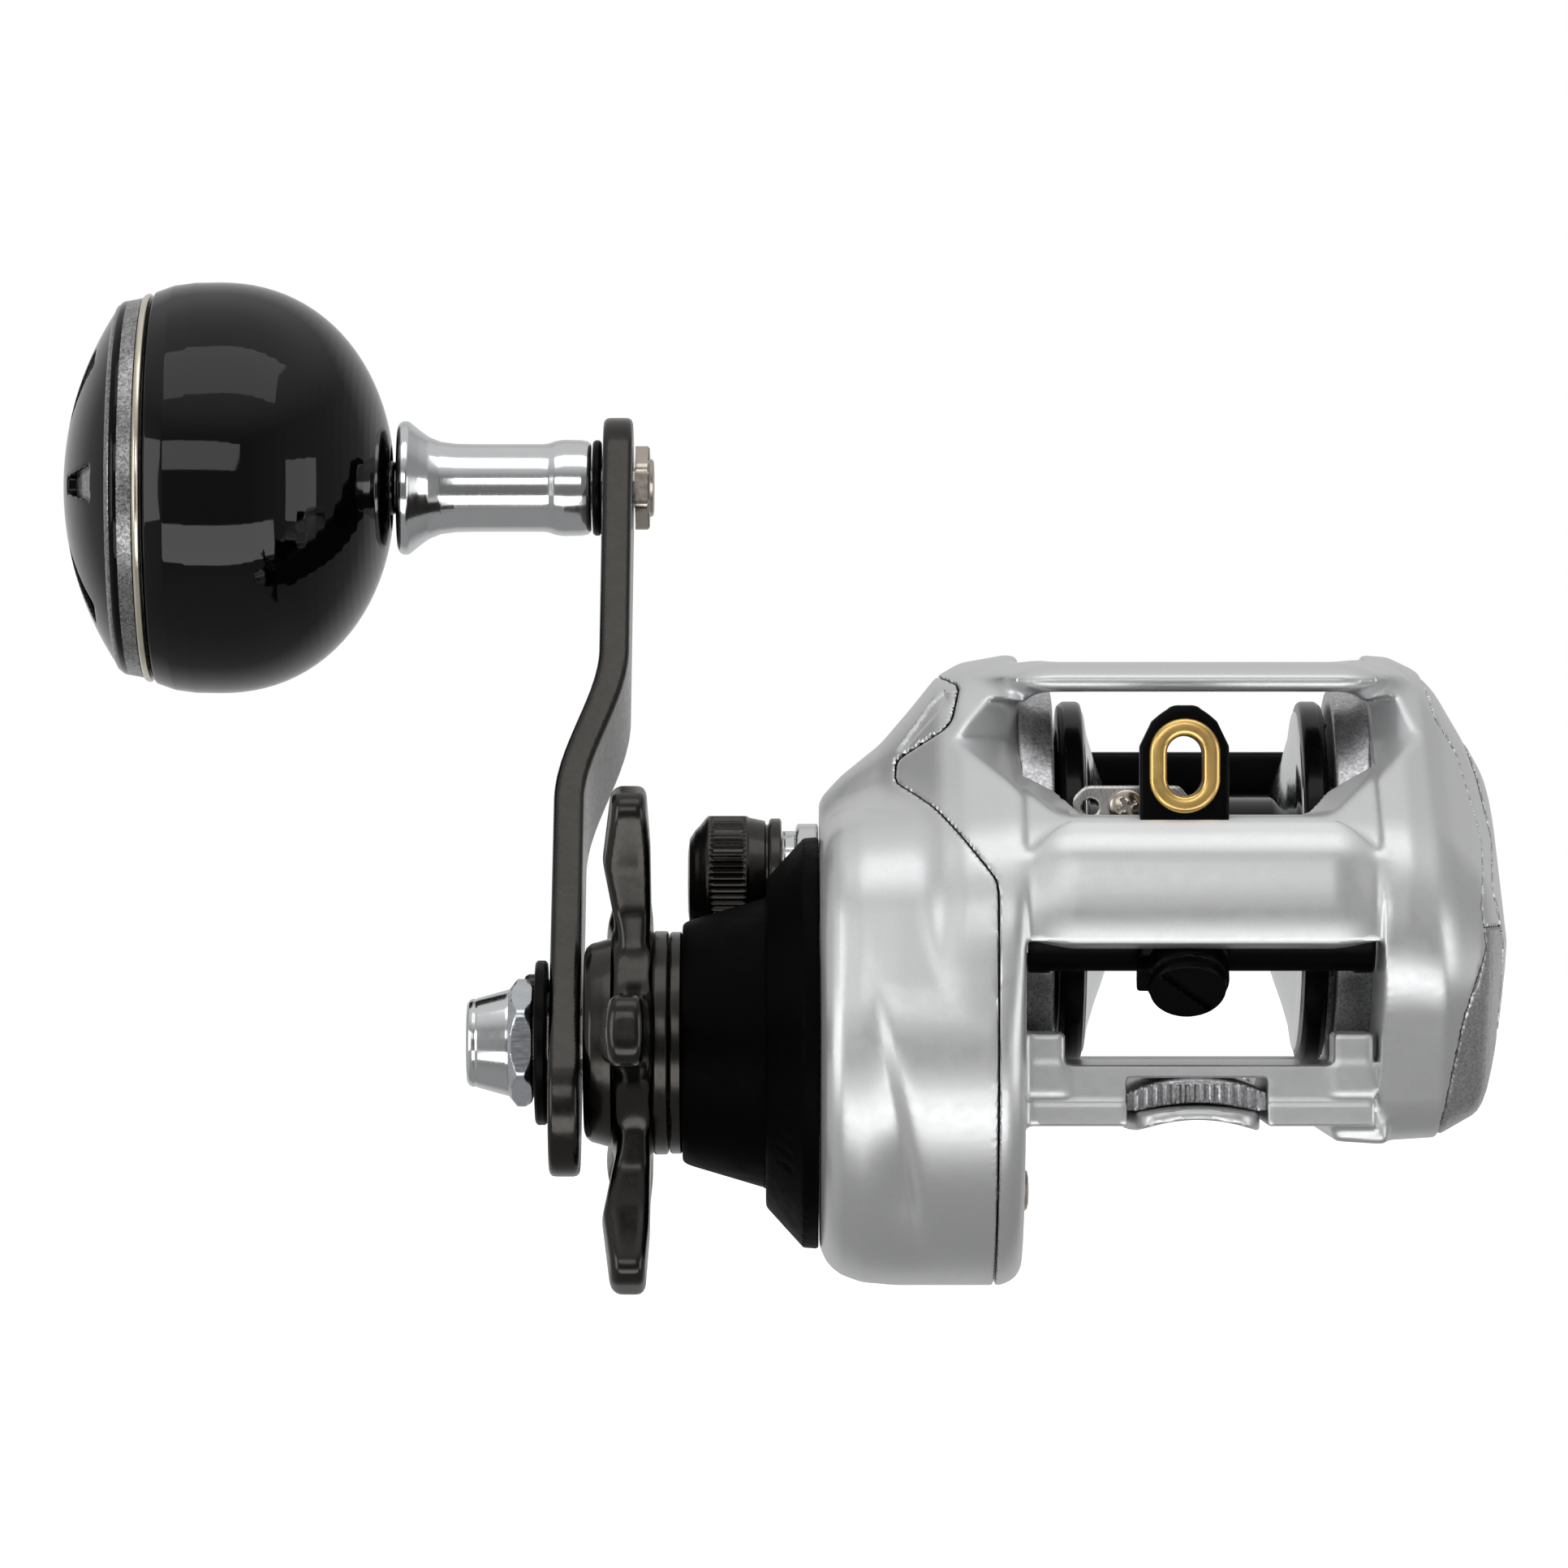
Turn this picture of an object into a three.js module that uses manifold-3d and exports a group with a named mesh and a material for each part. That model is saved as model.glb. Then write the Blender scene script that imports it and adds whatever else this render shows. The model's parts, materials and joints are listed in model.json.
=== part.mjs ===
// Baitcasting reel, right-hand retrieve, with a power handle and a round knob.
// Millimetres. +X runs from the handle side to the palm side, -Y points at the rod tip, +Z up off the rod.
// The origin is the middle of the underside of the reel foot.
import * as THREE from "three";
import { mergeVertices } from "three/addons/utils/BufferGeometryUtils.js";
import Module from "manifold-3d";

const wasm = await Module();
wasm.setup();

// ---------------------------------------------------------------- driving dimensions
const GAP = 0.3; // between pieces that touch
const DEG = Math.PI / 180;

const DRIVE = { y: -10, z: 8.4 }; // handle shaft axis, along X
const SPOOL = { y: 4, z: 27.4 }; // spool axis, along X
const WORM = { y: -25.5, z: 21.6 }; // level-wind worm axis, along X
const TURN_RATIO = 7.6; // spool turns per handle turn
const PINION_TEETH = 10;
const WORM_GEAR_TEETH = 17;
const LEVEL_GEAR_TEETH = 34;
const TIP_CLEARANCE = 0.1; // between the tooth tips of two gears in mesh

const JAMB_LEFT = -20.1; // inner faces of the frame's side plates
const JAMB_RIGHT = 21.3;
const GEAR_PLATE_OUT = -23.3; // outer face of the frame on the gear side
const COVER_OUT = -43.9; // outer face of the gear-side cover
const WALL = 2.0;
const DRIVE_CASE_R = 28.5; // gear-side case about the handle shaft
const FRAME_R = 27.0; // frame about the spool axis
const FRONT = { y: -20.5, z: 21.5, r: 17.7 }; // the body's front end, round the level wind
const HOOD = { y0: -38.2, y1: -33.4, z0: 20.4, z1: 35.5 };
const TOP_BAR = { y0: -17, y1: -5, z0: 50.1, z1: 53.5 };
const BASE = { y0: -31, y1: 20, z0: -0.7, z1: 6.4 };
const BASE_CORNER = { x0: 15.7, x1: 26, drop: 2.3 }; // the lower ledge at the palm end of the base
const SIDE_RING = { width: 4, inner: 18.8, outer: 23.2 };

const SPOOL_FLANGE_R = 21.75;
const SPOOL_ARBOR_R = 10;
const SPOOL_LEFT = -15.5;
const SPOOL_RIGHT = 16.5;
const FLANGE_THICK = 3;
const SPOOL_SHAFT_R = 1.5;

const PALM_BAND_IN = 30.4;
const PALM_COVER_IN = 34.0;
const PALM_OUT = 38.3;

const FOOT = { width: 16, length: 64, thick: 2.3, flat: 4, drop: 1.3 };
const GUIDE = { x: -1.5, width: 10.6, y0: -31, y1: -27.2, top: 48.5, ringZ: 41.3 };
const GUIDE_BAR = { y: -29.1, z: 30.6, r: 1.2 };
const WORM_TUBE_R = 4.6;

const HANDLE_LENGTH = 88; // handle shaft to knob axle
const HANDLE_TILT = 39.4 * DEG; // from vertical, away from the rod tip
const ARM = { width: 17.6, thick: 3.7, outer: -76.0, inner: -70.8, bendLow: 33.7, bendHigh: 53.1, tail: -8.9 };
const KNOB_R = 25.8;
const KNOB_AXLE_R = 2.5;
const STAR = { hub: 13, tip: 31, arms: 5, first: 13.4, x0: -68.4, x1: -64.15 };
const SHAFT_R = 3.7;

const KNOB = {
  y: DRIVE.y + HANDLE_LENGTH * Math.sin(HANDLE_TILT),
  z: DRIVE.z + HANDLE_LENGTH * Math.cos(HANDLE_TILT),
};
const GEAR_DISTANCE = Math.hypot(SPOOL.y - DRIVE.y, SPOOL.z - DRIVE.z);
const WORM_DISTANCE = Math.hypot(WORM.y - DRIVE.y, WORM.z - DRIVE.z);
const PINION_R = (GEAR_DISTANCE - TIP_CLEARANCE) / (1 + TURN_RATIO);
const MAIN_GEAR_R = GEAR_DISTANCE - TIP_CLEARANCE - PINION_R;
const WORM_GEAR_R = ((WORM_DISTANCE - TIP_CLEARANCE) * WORM_GEAR_TEETH) / (WORM_GEAR_TEETH + LEVEL_GEAR_TEETH);
const LEVEL_GEAR_R = WORM_DISTANCE - TIP_CLEARANCE - WORM_GEAR_R;

// ---------------------------------------------------------------- finishes
const finish = (color, metalness, roughness) => new THREE.MeshStandardMaterial({ color, metalness, roughness });
const silverPaint = finish(0xb4b6b9, 0.8, 0.38);
const bareCasting = finish(0xa9a7a2, 0.9, 0.5);
const matteBlack = finish(0x18181a, 0.1, 0.7);
const gunmetal = finish(0x37393d, 0.95, 0.28);
const glossBlack = finish(0x0b0b0c, 0.0, 0.15);
const chrome = finish(0xd6d8da, 1.0, 0.12);
const steel = finish(0x9a9c9f, 1.0, 0.3);
const brass = finish(0xb99a55, 1.0, 0.3);
const gold = finish(0xc99a3a, 1.0, 0.2);
const glitter = finish(0xc9c9cc, 0.9, 0.45);
const blackPlastic = finish(0x141415, 0.0, 0.45);
const carbon = finish(0x232325, 0.2, 0.7);

// ---------------------------------------------------------------- solid helpers
// A closed geometry as a manifold-3d solid with its faces pointing out.
function solid(geometry) {
  const bare = new THREE.BufferGeometry();
  bare.setAttribute("position", geometry.getAttribute("position"));
  if (geometry.index) bare.setIndex(geometry.index);
  const merged = mergeVertices(bare, 1e-4);
  const corners = merged.index.array;
  const kept = [];
  for (let i = 0; i < corners.length; i += 3) {
    const [a, b, c] = [corners[i], corners[i + 1], corners[i + 2]];
    if (a !== b && b !== c && c !== a) kept.push(a, b, c);
  }
  const build = (triVerts) =>
    new wasm.Manifold(
      new wasm.Mesh({ numProp: 3, vertProperties: merged.attributes.position.array, triVerts }),
    );
  const made = build(new Uint32Array(kept));
  return made.volume() < 0 ? build(new Uint32Array(kept.reverse())) : made;
}

const join = (first, ...others) => others.reduce((sum, other) => sum.add(other), first);
const cut = (first, ...others) => others.reduce((rest, other) => rest.subtract(other), first);

// A solid as a named mesh of the group.
const reel = new THREE.Group();
function add(name, shape, material) {
  const mesh = shape.getMesh();
  const geometry = new THREE.BufferGeometry();
  geometry.setAttribute("position", new THREE.BufferAttribute(new Float32Array(mesh.vertProperties), 3));
  geometry.setIndex(new THREE.BufferAttribute(new Uint32Array(mesh.triVerts), 1));
  const flat = geometry.toNonIndexed();
  flat.computeVertexNormals();
  const piece = new THREE.Mesh(flat, material);
  piece.name = name;
  reel.add(piece);
}

// A profile of [x, radius] points turned about the axis through (y, z) along X.
function turned(axis, profile, segments = 16) {
  const geometry = new THREE.LatheGeometry(
    profile.map(([x, r]) => new THREE.Vector2(r, x)),
    segments,
  );
  geometry.rotateZ(-90 * DEG);
  geometry.translate(0, axis.y, axis.z);
  return solid(geometry);
}

const rod = (axis, x0, x1, r, segments = 14) =>
  turned(axis, [[x0, 0], [x0, r], [x1, r], [x1, 0]], segments);
const tube = (axis, x0, x1, inner, outer, segments = 16) =>
  turned(axis, [[x0, inner], [x0, outer], [x1, outer], [x1, inner], [x0, inner]], segments);

// An outline of [y, z] points as a plate from x0 to x1, and the same for outlines in the other two planes.
function plateX(points, x0, x1) {
  const shape = new THREE.Shape(points.map(([y, z]) => new THREE.Vector2(-z, y)));
  const geometry = new THREE.ExtrudeGeometry(shape, { depth: x1 - x0, bevelEnabled: false });
  geometry.rotateY(90 * DEG);
  geometry.translate(x0, 0, 0);
  return solid(geometry);
}
function plateY(points, y0, y1) {
  const shape = new THREE.Shape(points.map(([x, z]) => new THREE.Vector2(x, z)));
  const geometry = new THREE.ExtrudeGeometry(shape, { depth: y1 - y0, bevelEnabled: false });
  geometry.rotateX(90 * DEG);
  geometry.translate(0, y1, 0);
  return solid(geometry);
}
function plateZ(points, z0, z1) {
  const shape = new THREE.Shape(points.map(([x, y]) => new THREE.Vector2(x, y)));
  const geometry = new THREE.ExtrudeGeometry(shape, { depth: z1 - z0, bevelEnabled: false });
  geometry.translate(0, 0, z0);
  return solid(geometry);
}
function box(x0, x1, y0, y1, z0, z1) {
  const geometry = new THREE.BoxGeometry(x1 - x0, y1 - y0, z1 - z0);
  geometry.translate((x0 + x1) / 2, (y0 + y1) / 2, (z0 + z1) / 2);
  return solid(geometry);
}

// The convex outline round a set of discs [y, z, radius], with the same number of points each time.
function outline(discs, count = 30) {
  return Array.from({ length: count }, (_, i) => {
    const [ny, nz] = [Math.cos((i / count) * 2 * Math.PI), Math.sin((i / count) * 2 * Math.PI)];
    const reach = ([y, z, r]) => y * ny + z * nz + r;
    const [y, z, r] = discs.reduce((far, disc) => (reach(disc) > reach(far) ? disc : far));
    return [y + r * ny, z + r * nz];
  });
}

// A body that blends between outlines: stations of [x, discs], in order along X.
function lofted(stations, count = 30) {
  const rings = stations.map(([x, discs]) => outline(discs, count).map(([y, z]) => [x, y, z]));
  const centre = (ring) => [0, 1, 2].map((k) => ring.reduce((sum, p) => sum + p[k], 0) / count);
  const points = [...rings.flat(), centre(rings[0]), centre(rings.at(-1))];
  const faces = [];
  const [start, end] = [points.length - 2, points.length - 1];
  for (let i = 0; i < count; i++) {
    const next = (i + 1) % count;
    for (let s = 0; s + 1 < rings.length; s++) {
      const [a, b] = [s * count + i, s * count + next];
      faces.push(a, b, b + count, a, b + count, a + count);
    }
    const last = (rings.length - 1) * count;
    faces.push(start, next, i, end, last + i, last + next);
  }
  const geometry = new THREE.BufferGeometry();
  geometry.setAttribute("position", new THREE.Float32BufferAttribute(points.flat(), 3));
  geometry.setIndex(faces);
  return solid(geometry);
}

const circle = (cy, cz, r, count = 24, phase = 0) =>
  Array.from({ length: count }, (_, i) => {
    const a = phase + (i / count) * 2 * Math.PI;
    return [cy + r * Math.cos(a), cz + r * Math.sin(a)];
  });

// A slot outline with round ends, centred on (cx, cz), longer along z.
function racetrack(cx, cz, width, height, count = 20) {
  const r = width / 2;
  return Array.from({ length: count }, (_, i) => {
    const a = ((i + 0.5) / count) * 2 * Math.PI;
    const lift = Math.sign(Math.sin(a)) * (height / 2 - r);
    return [cx + r * Math.cos(a), cz + lift + r * Math.sin(a)];
  });
}

// A toothed disc about an axis along X.
function gear(axis, x0, x1, tip, teeth, depth, bore) {
  const points = Array.from({ length: teeth * 2 }, (_, i) => {
    const a = (i / (teeth * 2)) * 2 * Math.PI;
    const r = i % 2 ? tip - depth : tip;
    return [axis.y + r * Math.cos(a), axis.z + r * Math.sin(a)];
  });
  return cut(plateX(points, x0, x1), rod(axis, x0 - 1, x1 + 1, bore, 20));
}

// A pan-head screw along X: the head's flat face at x, the shank towards -X.
const screwHeadIn = (axis, x, headR, headLength, shankLength) =>
  turned(axis, [
    [x + headLength, 0], [x + headLength, headR * 0.6], [x + headLength * 0.6, headR * 0.95], [x, headR],
    [x, headR * 0.5], [x - shankLength, headR * 0.5], [x - shankLength, 0],
  ], 16);

// ---------------------------------------------------------------- outlines of the body
const spoolDisc = (r, dz = 0) => [SPOOL.y, SPOOL.z + dz, r];
const driveDisc = (r) => [DRIVE.y, DRIVE.z, r];
const frontDisc = (r) => [FRONT.y, FRONT.z, r];
const gearOutline = (inset) => [
  driveDisc(DRIVE_CASE_R - inset),
  spoolDisc(FRAME_R - inset),
  frontDisc(FRONT.r - inset),
];
const palmOutline = (inset) => [
  spoolDisc(FRAME_R - inset),
  frontDisc(FRONT.r - inset),
  [DRIVE.y, DRIVE.z, 10.6 - inset],
];

// ---------------------------------------------------------------- frame and foot
function frame() {
  const left = plateX(outline(gearOutline(0)), GEAR_PLATE_OUT, JAMB_LEFT);
  const right = lofted([
    [JAMB_RIGHT, palmOutline(0)],
    [27.5, palmOutline(0.6)],
    [PALM_BAND_IN - GAP, palmOutline(2.6)],
  ]);
  const hoodOutline = [
    [HOOD.y1, HOOD.z1], [HOOD.y0 + 2.4, HOOD.z1], [HOOD.y0, HOOD.z1 - 7], [HOOD.y0 + 0.6, HOOD.z0 + 2],
    [HOOD.y0 + 2.4, HOOD.z0], [HOOD.y1, HOOD.z0],
  ];
  const hood = plateX(hoodOutline, JAMB_LEFT - 1, JAMB_RIGHT + 1);
  const topOutline = [
    [TOP_BAR.y0, TOP_BAR.z0 - 1.6], [TOP_BAR.y1, TOP_BAR.z0], [TOP_BAR.y1, TOP_BAR.z1 - 0.4],
    [TOP_BAR.y1 - 3, TOP_BAR.z1], [TOP_BAR.y0 + 3, TOP_BAR.z1 - 1.4], [TOP_BAR.y0, TOP_BAR.z1 - 3],
  ];
  const topBar = plateX(topOutline, JAMB_LEFT - 1, JAMB_RIGHT + 1);
  const baseOutline = [
    [BASE.y0, BASE.z0 + 2], [BASE.y0 + 2, BASE.z0], [BASE.y1, BASE.z0], [BASE.y1, BASE.z1 - 3],
    [BASE.y1 - 4, BASE.z1], [BASE.y0 + 2, BASE.z1], [BASE.y0, BASE.z1 - 1.5],
  ];
  const base = plateX(baseOutline, JAMB_LEFT - 1, JAMB_RIGHT + 1);
  const ledge = BASE_CORNER;
  const corner = box(ledge.x0, ledge.x1, BASE.y0 + 2, BASE.y1 - 6, BASE.z0 - ledge.drop, BASE.z1 - 1);
  const ring = (x0, x1) => tube(SPOOL, x0, x1, SIDE_RING.inner, SIDE_RING.outer, 18);
  const footChannel = box(-FOOT.width / 2 - GAP, FOOT.width / 2 + GAP, -60, 60, -10, FOOT.thick + GAP);
  const spoolRoom = rod(
    SPOOL, JAMB_LEFT + SIDE_RING.width, JAMB_RIGHT - SIDE_RING.width, SPOOL_FLANGE_R + 0.85, 22);
  const posts = [-1, 1].map((side) => rod(yokePost(side), -37.4, GEAR_PLATE_OUT + 1, YOKE.postR, 10));
  return cut(
    join(left, right, ...posts, hood, topBar, cut(join(base, corner), spoolRoom),
      ring(JAMB_LEFT - 1, JAMB_LEFT + SIDE_RING.width),
      ring(JAMB_RIGHT - SIDE_RING.width, JAMB_RIGHT + 1)),
    footChannel,
    rod(SPOOL, GEAR_PLATE_OUT - 1, JAMB_LEFT + 5, 5.4, 12),
    rod(DRIVE, GEAR_PLATE_OUT - 1, JAMB_LEFT + 1, 2.9, 12),
    rod(WORM, GEAR_PLATE_OUT - 1, JAMB_LEFT + 1, 3.4, 10),
    rod(SPOOL, JAMB_RIGHT - 1, PALM_BAND_IN + 2, 19.6, 18),
    ...sideScrews.map((place) => rod(place, GEAR_PLATE_OUT - 1, JAMB_LEFT + 1, 1.6, 10)),
    ...footScrews.map(([x, y]) => footScrewHole(x, y)),
  );
}

const sideScrews = [{ y: -27, z: -8.3 }, { y: 6.5, z: -12.5 }];
const footScrews = [[0, -9], [0, 17]];
function footScrewHole(x, y) {
  return plateZ(circle(x, y, 1.6, 8), -4, 10);
}
function footScrew(x, y) {
  const geometry = new THREE.LatheGeometry(
    [[0, 0.4], [2.3, 0.4], [2.3, 1.1], [1.2, 1.1], [1.2, 4.4], [0, 4.4]].map(([r, z]) => new THREE.Vector2(r, z)),
    16,
  );
  geometry.rotateX(90 * DEG);
  geometry.translate(x, y, 0);
  return solid(geometry);
}

function reelFoot() {
  const half = FOOT.width / 2;
  const section = [
    [-half, -FOOT.drop], [-half * 0.62, -FOOT.drop * 0.36], [-FOOT.flat / 2, 0], [FOOT.flat / 2, 0],
    [half * 0.62, -FOOT.drop * 0.36], [half, -FOOT.drop], [half, FOOT.thick - FOOT.drop],
    [half * 0.62, FOOT.thick - 0.3], [FOOT.flat / 2, FOOT.thick], [-FOOT.flat / 2, FOOT.thick],
    [-half * 0.62, FOOT.thick - 0.3], [-half, FOOT.thick - FOOT.drop],
  ];
  const bar = plateY(section, -FOOT.length / 2, FOOT.length / 2);
  const plan = [
    [-half, -FOOT.length / 2 + 8], [-half * 0.75, -FOOT.length / 2 + 2], [-half * 0.4, -FOOT.length / 2],
    [half * 0.4, -FOOT.length / 2], [half * 0.75, -FOOT.length / 2 + 2], [half, -FOOT.length / 2 + 8],
    [half, FOOT.length / 2 - 8], [half * 0.75, FOOT.length / 2 - 2], [half * 0.4, FOOT.length / 2],
    [-half * 0.4, FOOT.length / 2], [-half * 0.75, FOOT.length / 2 - 2], [-half, FOOT.length / 2 - 8],
  ];
  const tipRamp = (sign) =>
    plateX([[sign * 22, FOOT.thick + 0.1], [sign * 40, FOOT.thick + 0.1], [sign * 40, 0.4], [sign * 32, 1.0]], -9, 9);
  return cut(bar.intersect(plateZ(plan, -5, 5)), tipRamp(1), tipRamp(-1),
    ...footScrews.map(([x, y]) => plateZ(circle(x, y, 1.6, 8), -1, 5)),
    ...footScrews.map(([x, y]) => plateZ(circle(x, y, 2.7, 8), -1, 1.5)));
}

// ---------------------------------------------------------------- side covers
function gearSideCover() {
  const outside = lofted([
    [COVER_OUT, [driveDisc(DRIVE_CASE_R - 1.8), frontDisc(11)]],
    [COVER_OUT + 1.4, [driveDisc(DRIVE_CASE_R - 0.5), spoolDisc(13), frontDisc(13.4)]],
    [-38, [driveDisc(DRIVE_CASE_R), spoolDisc(18.5), frontDisc(16.4)]],
    [-31, [driveDisc(DRIVE_CASE_R), spoolDisc(24.2), frontDisc(FRONT.r)]],
    [GEAR_PLATE_OUT - GAP, gearOutline(0)],
  ]);
  const inside = lofted([
    [COVER_OUT + WALL, [driveDisc(DRIVE_CASE_R - 4), spoolDisc(9), frontDisc(10)]],
    [-38, [driveDisc(DRIVE_CASE_R - WALL - 0.3), spoolDisc(15.5), frontDisc(14)]],
    [-31, [driveDisc(DRIVE_CASE_R - WALL - 0.3), spoolDisc(21.5), frontDisc(15.2)]],
    [GEAR_PLATE_OUT + 1, gearOutline(WALL + 0.4)],
  ]);
  return cut(outside, inside,
    rod(DRIVE, COVER_OUT - 1, COVER_OUT + 3, 10.4, 14),
    rod(SPOOL, COVER_OUT - 1, COVER_OUT + 4, 5.2, 12));
}

// The black case round the handle shaft, with room for the cast-control cap beside it.
function noseHousing() {
  const outside = turned(DRIVE, [
    [-60.2, 7.4], [-60.2, 12.6], [-59.4, 14.2], [-58.2, 15.2], [-50.5, 17.0], [-50.3, 19.5], [-49.5, 20.6],
    [-46.0, 24.3], [-44.2, 24.4], [-44.2, 9.6], [-59.0, 9.6], [-59.0, 7.4], [-60.2, 7.4],
  ], 22);
  return cut(outside, rod(SPOOL, -70, -40, 8.3, 14));
}

function castControlBoss() {
  return turned(SPOOL, [
    [-55, 3.9], [-55, 4.9], [-48.5, 4.9], [-48.4, 6.1], [-46.8, 6.1], [-46.5, 7.0], [-44.2, 7.0],
    [-44.2, 4.9], [-42.2, 4.9], [-42.2, 1.9], [-45, 1.9], [-45, 3.9], [-55, 3.9],
  ], 14);
}

function castControlCap() {
  const shell = turned(SPOOL, [
    [-59.8, 0], [-59.8, 4.6], [-58.5, 6.9], [-57.4, 7.9], [-52.5, 7.9], [-50.4, 7.35], [-50.3, 6.9],
    [-49.9, 6.9], [-49.9, 7.65], [-48.7, 7.65], [-48.7, 5.2], [-57.6, 5.2], [-57.6, 0],
  ], 14);
  return shell;
}

// The palm side shrinks towards its outer face, faster at the top than at the bottom.
const palmDiscs = (top, bottom, front) => [
  [SPOOL.y, (top + bottom) / 2 + 1, (top - bottom) / 2 - 1],
  [front + (top - bottom) * 0.3, (top + bottom) / 2 - 2, (top - bottom) * 0.3],
  [DRIVE.y + 2, bottom + (top - bottom) * 0.22, (top - bottom) * 0.22],
];
function palmSideBand() {
  const outside = lofted([
    [PALM_BAND_IN, palmDiscs(51.6, -1.0, -36.8)],
    [32.4, palmDiscs(48.0, 0.4, -35.2)],
    [PALM_COVER_IN - GAP, palmDiscs(45.2, 2.0, -33.6)],
  ]);
  return cut(outside, rod(SPOOL, PALM_BAND_IN - 1, PALM_COVER_IN + 1, 17.6, 18));
}

function palmSideCover() {
  const outside = lofted([
    [PALM_COVER_IN, palmDiscs(44.6, 2.4, -33.2)],
    [36.0, palmDiscs(40.6, 7.6, -30.0)],
    [37.4, palmDiscs(35.8, 12.6, -25.0)],
    [PALM_OUT, palmDiscs(31.0, 17.4, -18.0)],
  ]);
  return cut(outside, rod(SPOOL, PALM_COVER_IN - 1, PALM_COVER_IN + 1.2, 14, 14));
}

// The brake case closes the palm side and carries the spool's second bearing.
function brakeCase() {
  return turned(SPOOL, [
    [22.6, 3.0], [22.6, 7.2], [28.4, 7.2], [28.4, 17.2], [33.0, 17.2], [33.0, 15.2], [30.6, 15.2],
    [30.6, 4.0], [26.5, 4.0], [26.5, 3.0], [22.6, 3.0],
  ], 18);
}

// ---------------------------------------------------------------- spool
function spool() {
  const [left, right] = [SPOOL_LEFT, SPOOL_RIGHT];
  const edge = SPOOL_FLANGE_R;
  return turned(SPOOL, [
    [left + 2, 1.8], [left + 2, 5.5], [left + 0.4, 12], [left, edge - 1.4], [left + 0.8, edge - 0.2],
    [left + 1.8, edge], [left + FLANGE_THICK, edge - 1.0], [left + FLANGE_THICK - 0.8, edge - 4],
    [left + FLANGE_THICK + 0.8, SPOOL_ARBOR_R + 1.6], [left + FLANGE_THICK + 2.2, SPOOL_ARBOR_R],
    [right - FLANGE_THICK - 2.2, SPOOL_ARBOR_R], [right - FLANGE_THICK - 0.8, SPOOL_ARBOR_R + 1.6],
    [right - FLANGE_THICK + 0.8, edge - 4], [right - FLANGE_THICK, edge - 1.0], [right - 1.8, edge],
    [right - 0.8, edge - 0.2], [right, edge - 1.4], [right - 0.6, 16.2], [right - 2, 8.2],
    [6, 8.0], [6, 1.8], [left + 2, 1.8],
  ], 22);
}

const brakeRotor = () =>
  turned(SPOOL, [
    [6.4, 1.8], [6.4, 7.6], [17.6, 7.6], [17.6, 11.4], [19.6, 11.4], [19.6, 10.2], [18.6, 10.2],
    [18.6, 6.6], [7.6, 6.6], [7.6, 1.8], [6.4, 1.8],
  ], 14);

// ---------------------------------------------------------------- level wind
// The tube is slotted where the pawl reaches the worm, at 45 degrees forward and down.
const PAWL = { x: -1.2, angle: -135 * DEG };
function turnedToPawl(shape) {
  // from a shape drawn with the pawl pointing along +Y of the worm axis
  return shape
    .translate([0, -WORM.y, -WORM.z])
    .rotate([PAWL.angle / DEG, 0, 0])
    .translate([0, WORM.y, WORM.z]);
}
function wormTube() {
  const slot = turnedToPawl(box(-17, 18, WORM.y + 1, WORM.y + 8, WORM.z - 1.7, WORM.z + 1.7));
  return cut(tube(WORM, JAMB_LEFT + GAP, JAMB_RIGHT - GAP, 3.4, WORM_TUBE_R, 14), slot);
}
function wormShaft() {
  const crest = 3.0;
  const root = 2.4;
  const profile = [[-30, 0], [-30, 1.6], [-22.9, 1.6], [-22.9, crest], [-19, crest]];
  for (let x = -17; x < 18; x += 5) profile.push([x, crest], [x + 1, root], [x + 2.4, root], [x + 3.4, crest]);
  profile.push([20.5, crest], [20.5, 0]);
  return turned(WORM, profile, 8);
}
function pawlAlong(from, to, r, segments) {
  const geometry = new THREE.CylinderGeometry(r, r, to - from, segments);
  geometry.translate(PAWL.x, WORM.y + (from + to) / 2, WORM.z);
  return turnedToPawl(solid(geometry));
}

function lineGuide() {
  const { x, width, top } = GUIDE;
  const half = width / 2;
  const plate = plateY([
    [x - half, WORM.z], [x + half, WORM.z], [x + half, 46.4], [x + half - 1.4, top - 0.4], [x + half - 2.6, top],
    [x - half + 2.6, top], [x - half + 1.4, top - 0.4], [x - half, 46.4],
  ], GUIDE.y0, GUIDE.y1);
  const sleeve = rod(WORM, x - half, x + half, 6.4, 14);
  const barSleeve = rod(GUIDE_BAR, x - half, x + half, GUIDE_BAR.r + 1.5, 10);
  const pawlHouse = pawlAlong(3.5, 6.6, 4.4, 12);
  return cut(join(plate, sleeve, barSleeve, pawlHouse),
    rod(WORM, x - 20, x + 20, WORM_TUBE_R + 0.35, 14),
    rod(GUIDE_BAR, x - 20, x + 20, GUIDE_BAR.r + 0.4, 8),
    plateY(racetrack(x, GUIDE.ringZ, 8.2 + 2 * GAP, 11 + 2 * GAP, 12), -40, -20),
    pawlAlong(2, 8, 2.0, 10));
}
const lineRing = () =>
  cut(plateY(racetrack(GUIDE.x, GUIDE.ringZ, 8.2, 11, 14), GUIDE.y0 - 0.9, GUIDE.y1 + 0.9),
    plateY(racetrack(GUIDE.x, GUIDE.ringZ, 4.6, 7.4, 14), -40, -20));
const pawl = () => pawlAlong(3.3, 6.4, 1.5, 8);
function pawlCap() {
  const slot = turnedToPawl(box(PAWL.x - 6, PAWL.x + 6, WORM.y + 8.0, WORM.y + 9, WORM.z - 0.5, WORM.z + 0.5));
  return cut(pawlAlong(6.9, 8.4, 4.55, 12), slot);
}
const BRACKET_SCREW = { x: -7.9, z: 36.5 };
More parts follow.
